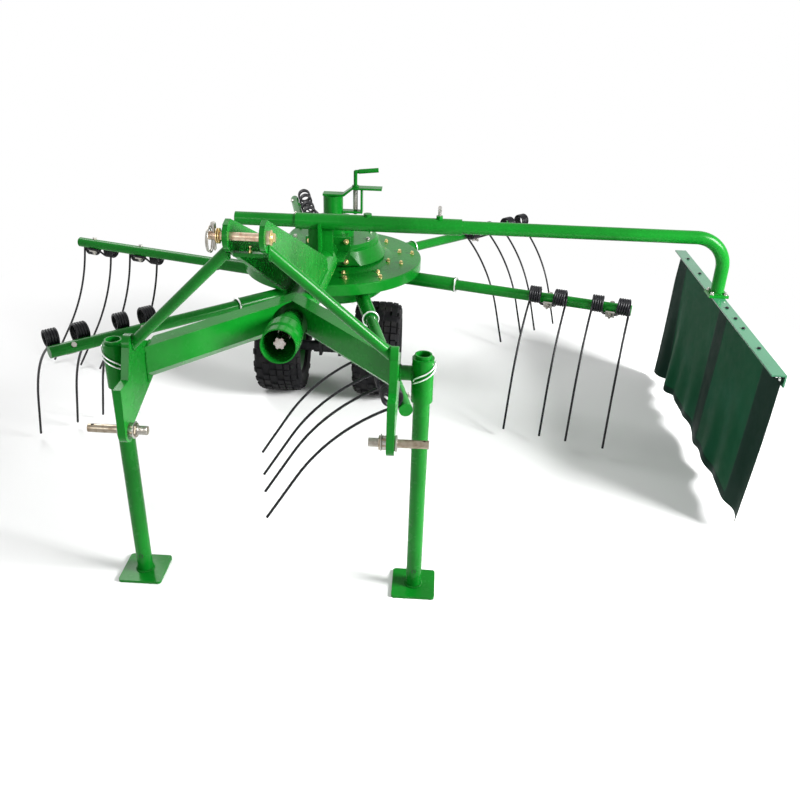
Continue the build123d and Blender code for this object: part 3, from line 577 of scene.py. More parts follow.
class Bench:
    """Blender's modelling tools, as used by hand on one piece at a time."""

    WIRE_SIDES = 8
    THREAD_STEPS = 14
    THREAD_SHARE = 0.42
    WELD_GAP = 0.00001

    @staticmethod
    def clear() -> None:
        """Leaves edit mode and deselects everything."""
        active = bpy.context.view_layer.objects.active
        if active is not None and active.mode != "OBJECT":
            bpy.ops.object.mode_set(mode="OBJECT")
        bpy.ops.object.select_all(action="DESELECT")

    @classmethod
    def only(cls, piece: bpy.types.Object) -> None:
        """Selects one piece and makes it the active one.

        Args:
            piece: the piece.
        """
        cls.clear()
        bpy.context.view_layer.objects.active = piece
        piece.select_set(True)

    @staticmethod
    def take(name: str) -> bpy.types.Object:
        """Names the piece that was just added.

        Args:
            name: its name.

        Returns:
            The piece.
        """
        piece = bpy.context.view_layer.objects.active
        piece.name = name
        piece.data.name = name
        return piece

    @classmethod
    def cylinder(cls, name: str, radius: float, low: float, high: float, sides: int) -> bpy.types.Object:
        """A bar along Z.

        Args:
            name: the piece's name.
            radius: to its corners.
            low: its bottom.
            high: its top.
            sides: how many sides it has.

        Returns:
            The new piece.
        """
        cls.clear()
        bpy.ops.mesh.primitive_cylinder_add(
            vertices=sides, radius=radius, depth=high - low, location=(0, 0, (low + high) / 2)
        )
        piece = cls.take(name)
        bpy.ops.object.transform_apply(location=True, rotation=True, scale=True)
        return piece

    @classmethod
    def ring(cls, name: str, radius: float, wire: float, sides: int) -> bpy.types.Object:
        """A torus about Z, with eight steps round its wire.

        Args:
            name: the piece's name.
            radius: to the middle of the wire.
            wire: the wire's radius.
            sides: steps round the ring.

        Returns:
            The new piece.
        """
        cls.clear()
        bpy.ops.mesh.primitive_torus_add(
            major_radius=radius, minor_radius=wire, major_segments=sides, minor_segments=cls.WIRE_SIDES
        )
        return cls.take(name)

    @classmethod
    def edit(cls, piece: bpy.types.Object, kind: str, chosen: Callable[[Any], bool]) -> None:
        """Opens a piece in edit mode with some of its elements selected.

        Args:
            piece: the piece to edit.
            kind: "VERT", "EDGE" or "FACE".
            chosen: tells for a vertex, an edge's two points or a face whether it is selected.
        """
        cls.only(piece)
        bpy.ops.object.mode_set(mode="EDIT")
        bpy.ops.mesh.select_mode(type=kind)
        bpy.ops.mesh.select_all(action="DESELECT")
        bpy.ops.object.mode_set(mode="OBJECT")
        mesh = piece.data
        if kind == "FACE":
            for face in mesh.polygons:
                face.select = chosen(face)
        elif kind == "EDGE":
            for edge in mesh.edges:
                ends = [mesh.vertices[index].co for index in edge.vertices]
                edge.select = chosen(ends)
        else:
            for vertex in mesh.vertices:
                vertex.select = chosen(vertex.co)
        bpy.ops.object.mode_set(mode="EDIT")

    @classmethod
    def chamfer(cls, piece: bpy.types.Object, width: float, above: float) -> None:
        """Breaks a piece's edges above a height.

        Args:
            piece: the piece.
            width: how wide the chamfer is.
            above: the edges with both ends above this are broken.
        """
        cls.edit(piece, "EDGE", lambda ends: ends[0].z > above and ends[1].z > above)
        bpy.ops.mesh.bevel(offset=width, segments=1, affect="EDGES")
        bpy.ops.object.mode_set(mode="OBJECT")

    @classmethod
    def inset(
        cls,
        piece: bpy.types.Object,
        chosen: Callable[[Any], bool],
        wide: float,
        depth: float,
        each: bool = False,
    ) -> None:
        """Insets some of a piece's faces and draws them out.

        Args:
            piece: the piece.
            chosen: tells for a face whether it is inset.
            wide: how far its edge moves in.
            depth: how far it is drawn out.
            each: whether each face has its own inset.
        """
        cls.edit(piece, "FACE", chosen)
        bpy.ops.mesh.inset(thickness=wide, depth=depth, use_individual=each)
        bpy.ops.object.mode_set(mode="OBJECT")

    @classmethod
    def join(cls, pieces: Sequence[bpy.types.Object], name: str) -> bpy.types.Object:
        """Joins pieces into one.

        Args:
            pieces: what is joined.
            name: the joined piece's name.

        Returns:
            The joined piece.
        """
        cls.clear()
        for piece in pieces:
            piece.select_set(True)
        bpy.context.view_layer.objects.active = pieces[0]
        if len(pieces) > 1:
            bpy.ops.object.join()
        pieces[0].name = name
        pieces[0].data.name = name
        return pieces[0]

    @classmethod
    def copies(cls, piece: bpy.types.Object, places: Iterable[Matrix], name: str) -> bpy.types.Object:
        """Sets copies of a piece at places, each with its own mesh, joined into one piece.

        Args:
            piece: the model, which is used up.
            places: where the copies go.
            name: the joined piece's name.

        Returns:
            The joined piece.
        """
        made = []
        for place in places:
            copy = piece.copy()
            copy.data = piece.data.copy()
            copy.data.transform(place)
            bpy.context.scene.collection.objects.link(copy)
            made.append(copy)
        bpy.data.objects.remove(piece)
        return cls.join(made, name)

    @classmethod
    def modify(cls, piece: bpy.types.Object, kind: str, **settings: Any) -> None:
        """Adds a modifier and applies it.

        Args:
            piece: the piece.
            kind: the modifier's type.
            settings: the modifier's settings.
        """
        cls.only(piece)
        modifier = piece.modifiers.new(kind.lower(), kind)
        for key, value in settings.items():
            setattr(modifier, key, value)
        bpy.ops.object.modifier_apply(modifier=modifier.name)

    @classmethod
    def wire(cls, name: str, points: Sequence[Vector], radius: float, steps: int = 3) -> bpy.types.Object:
        """A bent wire through points.

        Args:
            name: the piece's name.
            points: its middle line.
            radius: the wire's radius.
            steps: roundness of its section.

        Returns:
            The wire as a mesh with closed ends.
        """
        cls.clear()
        bpy.ops.curve.primitive_nurbs_path_add()
        piece = cls.take(name)
        line = piece.data
        line.splines.clear()
        spline = line.splines.new("POLY")
        spline.points.add(len(points) - 1)
        for point, place in zip(spline.points, points):
            point.co = (*place, 1.0)
        line.dimensions = "3D"
        line.bevel_depth = radius
        line.bevel_resolution = steps
        line.use_fill_caps = True
        bpy.ops.object.convert(target="MESH")
        return cls.take(name)

    @classmethod
    def turned(cls, name: str, profile: Pairs, sides: int) -> bpy.types.Object:
        """A shape turned about Z, drawn ring by ring from a circle.

        Args:
            name: the piece's name.
            profile: its (radius, height) points from one end to the other; where the last is the
                first again, the shape is a closed ring with a hole.
            sides: steps round it.

        Returns:
            The new piece.
        """
        closed = profile[0] == profile[-1]
        radius, height = profile[0]
        cls.clear()
        fill = "NOTHING" if closed else "NGON"
        bpy.ops.mesh.primitive_circle_add(
            vertices=sides, radius=radius, fill_type=fill, location=(0, 0, height)
        )
        piece = cls.take(name)
        bpy.ops.object.transform_apply(location=True, rotation=True, scale=True)
        bpy.ops.object.mode_set(mode="EDIT")
        bpy.ops.mesh.select_all(action="SELECT")
        for next_radius, next_height in profile[1:]:
            bpy.ops.mesh.extrude_region_move(TRANSFORM_OT_translate={"value": (0, 0, next_height - height)})
            scale = next_radius / radius
            bpy.ops.transform.resize(value=(scale, scale, 1.0), center_override=(0, 0, next_height))
            radius, height = next_radius, next_height
        bpy.ops.mesh.select_all(action="SELECT")
        bpy.ops.mesh.remove_doubles(threshold=cls.WELD_GAP)
        bpy.ops.mesh.normals_make_consistent(inside=False)
        bpy.ops.object.mode_set(mode="OBJECT")
        return piece

    @classmethod
    def thread(cls, name: str, radius: float, pitch: float, low: float, high: float) -> bpy.types.Object:
        """A screw thread's ridge about Z.

        Args:
            name: the piece's name.
            radius: to the ridge's middle.
            pitch: the rise of one turn.
            low: where it starts.
            high: where it ends.

        Returns:
            The ridge as a mesh.
        """
        steps = cls.THREAD_STEPS
        points = []
        for step in range(int((high - low) / pitch * steps) + 1):
            angle = FULL_TURN * step / steps
            height = low + pitch * step / steps
            points.append(Vector((radius * math.cos(angle), radius * math.sin(angle), height)))
        return cls.wire(name, points, pitch * cls.THREAD_SHARE, 1)

    @staticmethod
    def settle(piece: bpy.types.Object, place: Matrix) -> bpy.types.Object:
        """Moves a piece's mesh to its place, and leaves its object at the origin."""
        piece.data.transform(place)
        return piece

    @classmethod
    def finish(
        cls, piece: bpy.types.Object, finish: Finish, body: Body, slot: str, smooth: float = 30.0
    ) -> bpy.types.Object:
        """Dresses a piece and lets it ride on its body.

        Args:
            piece: the piece.
            finish: its finish.
            body: the body that carries it.
            slot: the record's material slot; not used.
            smooth: edges sharper than this many degrees stay sharp.

        Returns:
            The piece.
        """
        cls.only(piece)
        bpy.ops.object.transform_apply(location=True, rotation=True, scale=True)
        bpy.ops.object.shade_smooth_by_angle(angle=math.radians(smooth))
        piece.data.materials.clear()
        piece.data.materials.append(Finishes.of(finish))
        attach(piece, body.value)
        LOG.info("%s: %d faces on %s", piece.name, len(piece.data.polygons), body.value)
        return piece


def pointing(origin: Vector, along: Vector, spin: float = 0.0) -> Matrix:
    """A place whose Z points along a direction.

    Args:
        origin: where it sits.
        along: where its Z points.
        spin: a turn about that Z, in degrees.

    Returns:
        The place as a matrix.
    """
    turn = along.normalized().to_track_quat("Z", "Y").to_matrix().to_4x4()
    return Matrix.Translation(origin) @ turn @ Matrix.Rotation(math.radians(spin), 4, "Z")


@dataclass(frozen=True)
class HexBolt:
    """A hexagon bolt with its washer, head up, on the plane Z = 0."""

    across: float = 0.017
    head: float = 0.0075
    washer: float = 0.0024
    thread_r: float = 0.005
    thread: float = 0.0
    FACE_INSET = 0.10
    FACE_RISE = 0.04
    WASHER_R = 0.64
    WASHER_EDGE = 0.3
    THREAD_EDGE = 0.2

    def build(self, name: str) -> bpy.types.Object:
        """Models the bolt.

        Args:
            name: the piece's name.

        Returns:
            The bolt, with a chamfered head and, if it has one, its thread's end.
        """
        head = Bench.cylinder(name, self.across / math.sqrt(3), self.washer, self.washer + self.head, 6)
        inset, rise = self.across * self.FACE_INSET, self.across * self.FACE_RISE
        Bench.inset(head, lambda face: face.normal.z > 0.9, inset, rise)
        washer = Bench.cylinder("washer", self.across * self.WASHER_R, 0.0, self.washer, 24)
        Bench.chamfer(washer, self.washer * self.WASHER_EDGE, 0.0)
        parts = [head, washer]
        if self.thread > 0:
            stud = Bench.cylinder("stud", self.thread_r, 0.0, self.washer + self.head + self.thread, 16)
            Bench.chamfer(stud, self.thread_r * self.THREAD_EDGE, 0.001)
            parts.append(stud)
        return Bench.join(parts, name)


@dataclass(frozen=True)
class WeldBead:
    """A row of overlapping scales, as a welder leaves along a seam."""

    width: float = 0.0075
    pitch: float = 0.0042
    crown: Place = (0.8, 0.8, 0.9)
    flat: float = 0.55
    lean: float = 0.5
    sway: float = 0.06
    sway_step: float = 1.7

    def build(self, name: str, seams: Sequence[Sequence[Vector]]) -> bpy.types.Object:
        """Lays beads along seams.

        Args:
            name: the piece's name.
            seams: each seam's points.

        Returns:
            All the beads as one piece.
        """
        Bench.clear()
        bpy.ops.mesh.primitive_uv_sphere_add(segments=8, ring_count=5, radius=self.width / 2)
        scale = Bench.take("scale")
        Bench.edit(scale, "VERT", lambda point: point.z > self.width * 0.2)
        bpy.ops.transform.resize(value=self.crown)
        bpy.ops.object.mode_set(mode="OBJECT")
        places = [place for seam in seams for place in self._places(seam)]
        return Bench.copies(scale, places, name)

    def _places(self, seam: Sequence[Vector]) -> list[Matrix]:
        """Sets out the scales of one seam, each leaning on the last.

        Args:
            seam: the seam's points.

        Returns:
            The places of its scales.
        """
        places = []
        size = Matrix.Diagonal((1.0, 1.0, self.flat, 1.0))
        for start, end in zip(seam, seam[1:]):
            run = end - start
            count = max(1, round(run.length / self.pitch))
            for step in range(count):
                sway = math.sin(step * self.sway_step) * self.width * self.sway
                lean = pointing(start + run * (step / count), run) @ Matrix.Rotation(self.lean, 4, "X")
                places.append(Matrix.Translation((sway, sway, 0)) @ lean @ size)
        return places


def circle(place: Matrix, radius: float, steps: int) -> list[Vector]:
    """Points round a circle.

    Args:
        place: its own frame, with Z as its axis.
        radius: its radius.
        steps: how many steps go round it.

    Returns:
        The points, with the first one again at the end.
    """
    angles = [FULL_TURN * step / steps for step in range(steps + 1)]
    return [place @ Vector((radius * math.cos(angle), radius * math.sin(angle), 0)) for angle in angles]


@dataclass(frozen=True)
class CadDress:
    """Better finishes on the CAD nodes that stay."""

    green: tuple[str, ...] = (
        "drive_tube", "pto_guard", "left_hitch_plate", "right_hitch_plate", "left_leg_sleeve",
        "right_leg_sleeve", "left_beam", "right_beam", "left_mast_cheek", "right_mast_cheek",
        "mast_cross_plate", "left_brace", "right_brace", "gearbox", "column", "crank_bracket", "crank",
        "boom_sleeve", "rotor_disc", "cam_housing", "rake_arms", "left_leg", "right_leg", "boom",
    )
    rims: tuple[str, ...] = ("left_wheel_rim", "right_wheel_rim")

    def apply(self) -> None:
        """Gives each CAD node that shows its finish."""
        self._dress(self.green, Finishes.GREEN)
        self._dress(self.rims, Finishes.RIM_GREEN)
        self._dress(("curtain_bar",), Finishes.BAR_GREEN)
        self._dress(("boom_tee_bolt", "tine_clamps", "leg_lock_clips"), Finishes.ZINC)
        self._dress(("lower_link_pins",), Finishes.LINK)
        self._dress(("top_link_pin",), Finishes.PIN)
        self._dress(("axle",), Finishes.CASTING)
        self._dress(("pto_shaft",), Finishes.SHAFT)
        self._dress(("wheel_strut",), Finishes.STRUT)

    @staticmethod
    def _dress(nodes: Sequence[str], finish: Finish) -> None:
        """Gives some nodes one finish.

        Args:
            nodes: the nodes' names.
            finish: their finish.
        """
        for name in nodes:
            for slot in frame["nodes"][name].material_slots:
                slot.material = Finishes.of(finish)
        LOG.info("%s on %d nodes", finish.name, len(nodes))


@dataclass(frozen=True)
class DoubleTine:
    """One wire: a leg, a coil, the loop under the arm, the other coil and the other leg."""

    wire: float = 0.0044
    coil_r: float = 0.0292
    away: float = 0.0565
    lag_deg: float = 26.0
    inner: float = 0.0278
    outer: float = 0.0710
    coil_turns: int = 5
    turn_steps: int = 24
    loop: tuple[float, float] = (0.0105, -0.0240)
    loop_r: float = 0.009
    loop_steps: int = 6
    upper: float = 0.210
    lower: float = 0.350
    bend_deg: float = 36.0
    bend_r: float = 0.56
    bend_steps: int = 14

    def points(self) -> list[Vector]:
        """The wire's middle line in the tine's frame: X along the arm, -Y trailing, Z up.

        Returns:
            Its points from one tip to the other.
        """
        half = self._loop() + self._coil()
        half += self._leg(half[-1])
        return [Vector((-point.x, point.y, point.z)) for point in reversed(half)] + half

    def _centre(self) -> Vector:
        """The coil's axis in the plane across the arm."""
        lag = math.radians(self.lag_deg)
        return Vector((0, -self.away * math.cos(lag), -self.away * math.sin(lag)))

    def _first_angle(self) -> float:
        """Where on the coil the loop's wire meets it."""
        reach = Vector((0, *self.loop)) - self._centre()
        return math.atan2(reach.z, reach.y) - math.acos(self.coil_r / reach.length)

    def _loop(self) -> list[Vector]:
        """Half of the loop under the arm.

        Returns:
            Its points, from its middle to the coil.
        """
        y, z = self.loop
        corner_x = self.inner - self.loop_r
        touch = self._on_coil(self._first_angle(), self.inner)
        way = (touch - Vector((self.inner, y, z))).normalized()
        line = [Vector((corner_x * 0.5, y, z))]
        for step in range(self.loop_steps + 1):
            turn = math.pi / 2 * step / self.loop_steps
            ahead = way * (self.loop_r * (1 - math.cos(turn)))
            line.append(Vector((corner_x + self.loop_r * math.sin(turn), y, z)) + ahead)
        return line + [line[-1].lerp(touch, share) for share in (0.33, 0.67)]

    def _on_coil(self, angle: float, x: float) -> Vector:
        """A point on the coil's middle line."""
        centre = self._centre()
        return Vector((x, centre.y + self.coil_r * math.cos(angle), centre.z + self.coil_r * math.sin(angle)))

    def _coil(self) -> list[Vector]:
        """The coil's turns.

        Returns:
            Its points, from the loop to the top of the leg.
        """
        first = self._first_angle()
        sweep = first + FULL_TURN * self.coil_turns
        wide = self.outer - self.inner
        count = self.coil_turns * self.turn_steps
        shares = [step / count for step in range(count + 1)]
        return [self._on_coil(first - sweep * share, self.inner + wide * share) for share in shares]

    def _leg(self, top: Vector) -> list[Vector]:
        """The leg below its coil: a short straight run, a long easy bend forwards and the tip.

        Args:
            top: where the coil ends.

        Returns:
            The leg's points down to its tip.
        """
        bend = math.radians(self.bend_deg)
        eased = self.bend_r * math.tan(bend / 2)
        start = top - Vector((0, 0, self.upper - eased))
        line = [start]
        for step in range(1, self.bend_steps + 1):
            angle = bend * step / self.bend_steps
            line.append(start + self.bend_r * Vector((0, 1 - math.cos(angle), -math.sin(angle))))
        way = Vector((0, math.sin(bend), -math.cos(bend)))
        return line + [line[-1] + way * (self.lower - eased) * share for share in (0.5, 1.0)]


@dataclass(frozen=True)
class Rotor:
    """The rotor's own details: its spring tines, disc bolts and the rings of the sockets."""

    arms: int = 6
    phase_deg: float = -16.74
    offset: float = 0.081
    arm_z: float = 0.477
    socket_end: float = 0.513
    ring_r: float = 0.029
    ring_wire: float = 0.0036
    stations: tuple[float, ...] = (0.901, 1.145)
    trail_deg: tuple[float, ...] = (56.0, 54.0, 53.0, -12.5, 54.0, 70.0)
    disc_top: float = 0.559
    dome: float = 0.009
    dome_r: float = 0.200
    dome_foot_r: float = 0.246
    saddle: tuple[float, float] = (0.238, 0.294)
    saddle_half: float = 0.069
    tine: DoubleTine = DoubleTine()
    disc_bolt: HexBolt = HexBolt(across=0.0135, head=0.006, thread=0.004)
    turn_by_arm: float = 17.0
    turn_by_place: float = 900.0

    def arm_frame(self, index: int) -> Matrix:
        """An arm's own frame: X along it, Y the way it runs, Z up.

        Args:
            index: the arm's number from 0.

        Returns:
            The frame as a matrix.
        """
        turn = math.radians(self.phase_deg + 360 * index / self.arms)
        lift = Matrix.Translation((0, 0, self.arm_z))
        aside = Matrix.Translation((0, self.offset, 0))
        return LAYOUT.rotor_matrix() @ lift @ Matrix.Rotation(turn, 4, "Z") @ aside

    def tine_frame(self, index: int, station: float) -> Matrix:
        """A double tine's frame on its arm, turned by the cam's trail."""
        trail = Matrix.Rotation(math.radians(-self.trail_deg[index]), 4, "X")
        return self.arm_frame(index) @ Matrix.Translation((station, 0, 0)) @ trail

    def build(self) -> None:
        """Models and dresses the rotor's details."""
        self._tines()
        self._disc_bolts()
        self._socket_rings()

    def _tines(self) -> None:
        """The six arms' double tines, each pair of them one piece that replaces its node."""
        for index in range(self.arms):
            name = f"spring_tines_{index + 1}"
            wire = Bench.wire(name, self.tine.points(), self.tine.wire)
            places = [self.tine_frame(index, station) for station in self.stations]
            piece = Bench.copies(wire, places, name)
            Bench.finish(piece, Finishes.SPRING, Body.ROTOR, "spring_black", 50.0)
            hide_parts(f"tines_{index + 1}")

    def _disc_bolts(self) -> None:
        """Four bolts over each arm's saddle."""
        bolt = self.disc_bolt.build("disc_bolts")
        places = []
        for index in range(self.arms):
            arm = self.arm_frame(index)
            for along in self.saddle:
                for across in (-self.saddle_half, self.saddle_half):
                    spot = arm @ Vector((along, across, 0))
                    away = (spot.xy - LAYOUT.at(0, Layout.ROTOR_BEHIND, 0).xy).length
                    spot.z = self._disc_height(away)
                    turn = index * self.turn_by_arm + along * self.turn_by_place
                    places.append(pointing(spot, UP, turn))
        bolts = Bench.copies(bolt, places, "disc_bolts")
        Bench.finish(bolts, Finishes.YELLOW, Body.ROTOR, "zinc")

    def _disc_height(self, away: float) -> float:
        """How high the disc's top is.

        Args:
            away: the distance from its axis.

        Returns:
            The height above the ground.
        """
        share = (self.dome_foot_r - away) / (self.dome_foot_r - self.dome_r)
        return self.disc_top + self.dome * min(1.0, max(0.0, share))

    def _socket_rings(self) -> None:
        """The bright sealing ring at the end of each socket."""
        ring = Bench.ring("socket_rings", self.ring_r, self.ring_wire, 36)
        end = Matrix.Translation((self.socket_end, 0, 0)) @ Matrix.Rotation(math.pi / 2, 4, "Y")
        places = [self.arm_frame(index) @ end for index in range(self.arms)]
        piece = Bench.copies(ring, places, "socket_rings")
        Bench.finish(piece, Finishes.BRIGHT, Body.ROTOR, "zinc", 35.0)


class DriveLine:
    """The sloping line of the stub shaft, the drive tube and the neck."""

    FRONT_Y = 0.308
    FRONT_Z = 0.699
    DROP_DEG = 3.6

    @classmethod
    def frame(cls) -> Matrix:
        """The line's own frame.

        Returns:
            Z back along it, X to the curtain's side, Y down.
        """
        slope = math.radians(cls.DROP_DEG)
        back = Vector((0, math.cos(slope), -math.sin(slope)))
        right = Vector((1, 0, 0))
        turn = Matrix((right, back.cross(right), back)).transposed().to_4x4()
        return Matrix.Translation(LAYOUT.at(0, cls.FRONT_Y, cls.FRONT_Z)) @ turn


def cut_seam(start: Vector, end: Vector, radius: float, plane_x: float, steps: int = 24) -> list[Vector]:
    """The seam of a round bar on an upright plane across X.

    Args:
        start: a layout point on the bar's axis.
        end: another one.
        radius: the bar's radius.
        plane_x: the plane's X.
        steps: how many steps go round it.

    Returns:
        The seam's points in the frame.
    """
    run = (end - start).normalized()
    side = run.cross(UP).normalized()
    over = side.cross(run)
    points = []
    for step in range(steps + 1):
        angle = FULL_TURN * step / steps
        spot = start + radius * (math.cos(angle) * side + math.sin(angle) * over)
        spot += run * ((plane_x - spot.x) / run.x)
        points.append(LAYOUT.at(*spot))
    return points


def both(points: Sequence[Vector]) -> list[list[Vector]]:
    """Points in the frame, and the same ones mirrored to the other side of the machine."""
    middle = LAYOUT.origin.x
    return [list(points), [Vector((2 * middle - point.x, point.y, point.z)) for point in points]]


@dataclass(frozen=True)
class Headstock:
    """The headstock's welds, pins, nuts, threads, grease nipple, lock clips and the painted shade of the leg
    holes.

    Seams on the plates are (y, z) points; those round the tubes are (radius, place along the drive
    line). A lynch ring is its radius, its wire's radius and its x and z from the pin's hole.
    """

    plate_in: float = 0.325
    plate_out: float = 0.345
    link_z: float = 0.590
    link_r: float = 0.011
    top_z: float = 1.104
    cheek_out: float = 0.047
    brace_top: Place = (0.047, 0.024, 1.064)
    brace_foot: Place = (0.325, 0.100, 0.786)
    brace_r: float = 0.014
    leg: tuple[float, float] = (0.406, 0.167)
    leg_r: float = 0.0225
    foot_top: float = 0.008
    hole_z: float = 0.068
    arm_r: float = 0.020
    arm_end: float = 0.3795
    arm_z: float = 0.706
    proud: float = 0.001
    plate_seams: tuple[Pairs, ...] = (
        ((0.164, 0.646), (0.164, 0.718)),
        ((0.166, 0.722), (0.184, 0.744), (0.212, 0.745)),
    )
    cheek_rise: float = -0.0300
    cheek_seam: tuple[float, float] = (0.37, 0.69)
    tube_seams: Pairs = ((0.0555, 0.2555), (0.0385, 0.7605))
    turret: tuple[float, float] = (0.041, 0.717)
    foot_bead: WeldBead = WeldBead(0.009, 0.005)
    lynch_x: float = -0.071
    lynch_peg: Pairs = (
        (0.0015, -0.034), (0.0037, -0.029), (0.0037, 0.016), (0.0060, 0.017), (0.0060, 0.029),
        (0.0045, 0.031),
    )
    lynch_rings: tuple[tuple[float, float, float, float], ...] = (
        (0.029, 0.0021, -0.0085, -0.008),
        (0.026, 0.0018, -0.0125, -0.010),
    )
    pin_washer: Pairs = ((0.0160, 0.0), (0.0175, 0.0006), (0.0175, 0.0024), (0.0160, 0.003))
    pin_washers_x: tuple[float, ...] = (-0.0645, -0.0600, -0.0510, 0.0562)
    pin_stud: HexBolt = HexBolt(across=0.019, head=0.005)
    stud_x: float = 0.059
    nut_r: float = 0.0185
    nut: float = 0.010
    nut_edge: tuple[float, float] = (0.002, 0.0012)
    link_washer: Pairs = ((0.0210, 0.012), (0.0225, 0.0126), (0.0225, 0.0144), (0.0210, 0.015))
    link_shoulder: Pairs = ((0.0190, -0.0268), (0.0210, -0.0262), (0.0210, -0.0225), (0.0190, -0.0205))
    link_thread: tuple[float, float, float] = (0.0022, 0.020, 0.0455)
    nipple: Pairs = (
        (0.0052, 0.0), (0.0052, 0.004), (0.0030, 0.0045), (0.0030, 0.009), (0.0040, 0.011), (0.0036, 0.0135),
        (0.0015, 0.015),
    )
    nipple_at: Place = (0.0, 0.0356, 1.0562)
    nipple_up: Place = (0.0, 0.242, 0.970)
    # profile of the black disc of painted shade in each leg hole
    hole_shade: Pairs = ((0.0064, -0.004), (0.0064, 0.0001), (0.0050, 0.0003), (0.0048, -0.0004))
    clip_wire: float = 0.0021
    clip_r: float = 0.0325
    clip_z: float = 0.686
    clip_back_z: float = 0.6995
    clip_climb: float = 0.0003

    def build(self) -> None:
        """Models and dresses the headstock's details."""
        self._welds()
        self._foot_welds()
        self._top_pin()
        self._link_pins()
        self._nipple()
        self._hole_shades()
        self._lock_clips()

    def _welds(self) -> None:
        """The beads on the plates, the braces, the leg arms and the drive tube."""
        top, foot = Vector(self.brace_top), Vector(self.brace_foot)
        inside = self.plate_in - self.proud
        outside = self.plate_out + self.proud
        cheek = self.cheek_out + self.proud
        seams = both(cut_seam(top, foot, self.brace_r, inside))
        seams += both(cut_seam(top, foot, self.brace_r, cheek))
        arm = Vector((self.plate_out, self.leg[1], self.arm_z))
        out = Vector((self.leg[0], self.leg[1], self.arm_z))
        for x in (outside, self.arm_end):
            seams += both(cut_seam(arm, out, self.arm_r, x))
        for line in self.plate_seams:
            seams += both([LAYOUT.at(inside, y, z) for y, z in line])
        drive = DriveLine.frame()
        seams += both([drive @ Vector((cheek, self.cheek_rise, along)) for along in self.cheek_seam])
        for radius, along in self.tube_seams:
            seams.append(circle(drive @ Matrix.Translation((0, 0, along)), radius, 24))
        radius, height = self.turret
        seams.append(circle(pointing(LAYOUT.at(0, Layout.ROTOR_BEHIND, height), UP), radius, 30))
        beads = WeldBead().build("frame_welds", seams)
        Bench.finish(beads, Finishes.WELD, Body.ROOT, "green_paint", 60.0)

    def _foot_welds(self) -> None:
        """The bead round each leg on its foot."""
        for side, body in JACKS:
            spot = LAYOUT.at(side.value * self.leg[0], self.leg[1], self.foot_top + self.proud)
            seam = circle(pointing(spot, UP), self.leg_r + self.proud, 30)
            bead = self.foot_bead.build(f"{side.name.lower()}_foot_weld", [seam])
            Bench.finish(bead, Finishes.WELD, body, "green_paint", 60.0)

    def _top_pin(self) -> None:
        """The top pin's lynch pin with its ring, and its washers."""
        hole = LAYOUT.at(self.lynch_x, 0, self.top_z)
        across = Matrix.Rotation(math.pi / 2, 4, "Y")
        parts = [Bench.turned("lynch_pin", self.lynch_peg, 20)]
        for radius, wire, x, z in self.lynch_rings:
            ring = Bench.ring("ring", radius, wire, 44)
            parts.append(Bench.settle(ring, Matrix.Translation((x, 0, z)) @ across))
        pin = Bench.settle(Bench.join(parts, "lynch_pin"), Matrix.Translation(hole))
        Bench.finish(pin, Finishes.ZINC, Body.ROOT, "zinc", 35.0)
        washer = Bench.turned("pin_washers", self.pin_washer, 28)
        right = Vector((1, 0, 0))
        places = [pointing(LAYOUT.at(x, 0, self.top_z), right) for x in self.pin_washers_x]
        washers = Bench.copies(washer, places, "pin_washers")
        stud = self.pin_stud.build("pin_stud")
        Bench.settle(stud, pointing(LAYOUT.at(self.stud_x, 0, self.top_z), right))
        Bench.finish(Bench.join([washers, stud], "pin_washers"), Finishes.YELLOW, Body.ROOT, "zinc")

    def _link_pins(self) -> None:
        """The lower link pins' washers, lock nuts and threads."""
        nut = Bench.cylinder("link_nuts", self.nut_r, 0.0, self.nut, 6)
        Bench.inset(nut, lambda face: abs(face.normal.z) > 0.9, *self.nut_edge, each=True)
        washer = Bench.turned("washer", self.link_washer, 28)
        thread = Bench.thread("thread", self.link_r, *self.link_thread)
        shoulder = Bench.turned("shoulder", self.link_shoulder, 28)
        model = Bench.join([nut, washer, thread, shoulder], "link_nuts")
        places = [
            pointing(LAYOUT.at(side.value * self.plate_in, 0, self.link_z), Vector((-side.value, 0, 0)))
            for side in Side
        ]
        nuts = Bench.copies(model, places, "link_nuts")
        Bench.finish(nuts, Finishes.ZINC, Body.ROOT, "zinc")

    def _nipple(self) -> None:
        """The grease nipple on the cross plate."""
        nipple = Bench.turned("grease_nipple", self.nipple, 16)
        Bench.settle(nipple, pointing(LAYOUT.at(*self.nipple_at), Vector(self.nipple_up)))
        Bench.finish(nipple, Finishes.YELLOW, Body.ROOT, "zinc")

    def _hole_shades(self) -> None:
        """The pin hole low in each leg: a black dished disc with a bright edge, painted shade standing in for
        the dark inside of the hole.
        """
        for side, body in JACKS:
            front = LAYOUT.at(side.value * self.leg[0], self.leg[1] - self.leg_r, self.hole_z)
            hole_shade = Bench.turned(f"{side.name.lower()}_leg_hole_shade", self.hole_shade, 20)
            Bench.settle(hole_shade, pointing(front, Vector((0, -1, 0))))
            # black lacquer here is painted shade for the dark inside of the hole
            Bench.finish(hole_shade, Finishes.SPRING, body, "spring_black")

    def _lock_clips(self) -> None:
        """The bent wire clips round the sleeves, each with its peg and its doubled bow."""
        points = []
        for degrees, radius, height in self._clip_line():
            angle = math.radians(degrees)
            x = self.leg[0] + radius * math.sin(angle)
            points.append(LAYOUT.at(x, self.leg[1] - radius * math.cos(angle), height))
        clips = [Bench.wire(f"clip_{index}", path, self.clip_wire) for index, path in enumerate(both(points))]
        clip = Bench.join(clips, "lock_clips")
        Bench.finish(clip, Finishes.BRIGHT, Body.ROOT, "zinc", 50.0)
        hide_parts("leg_lock_clips")

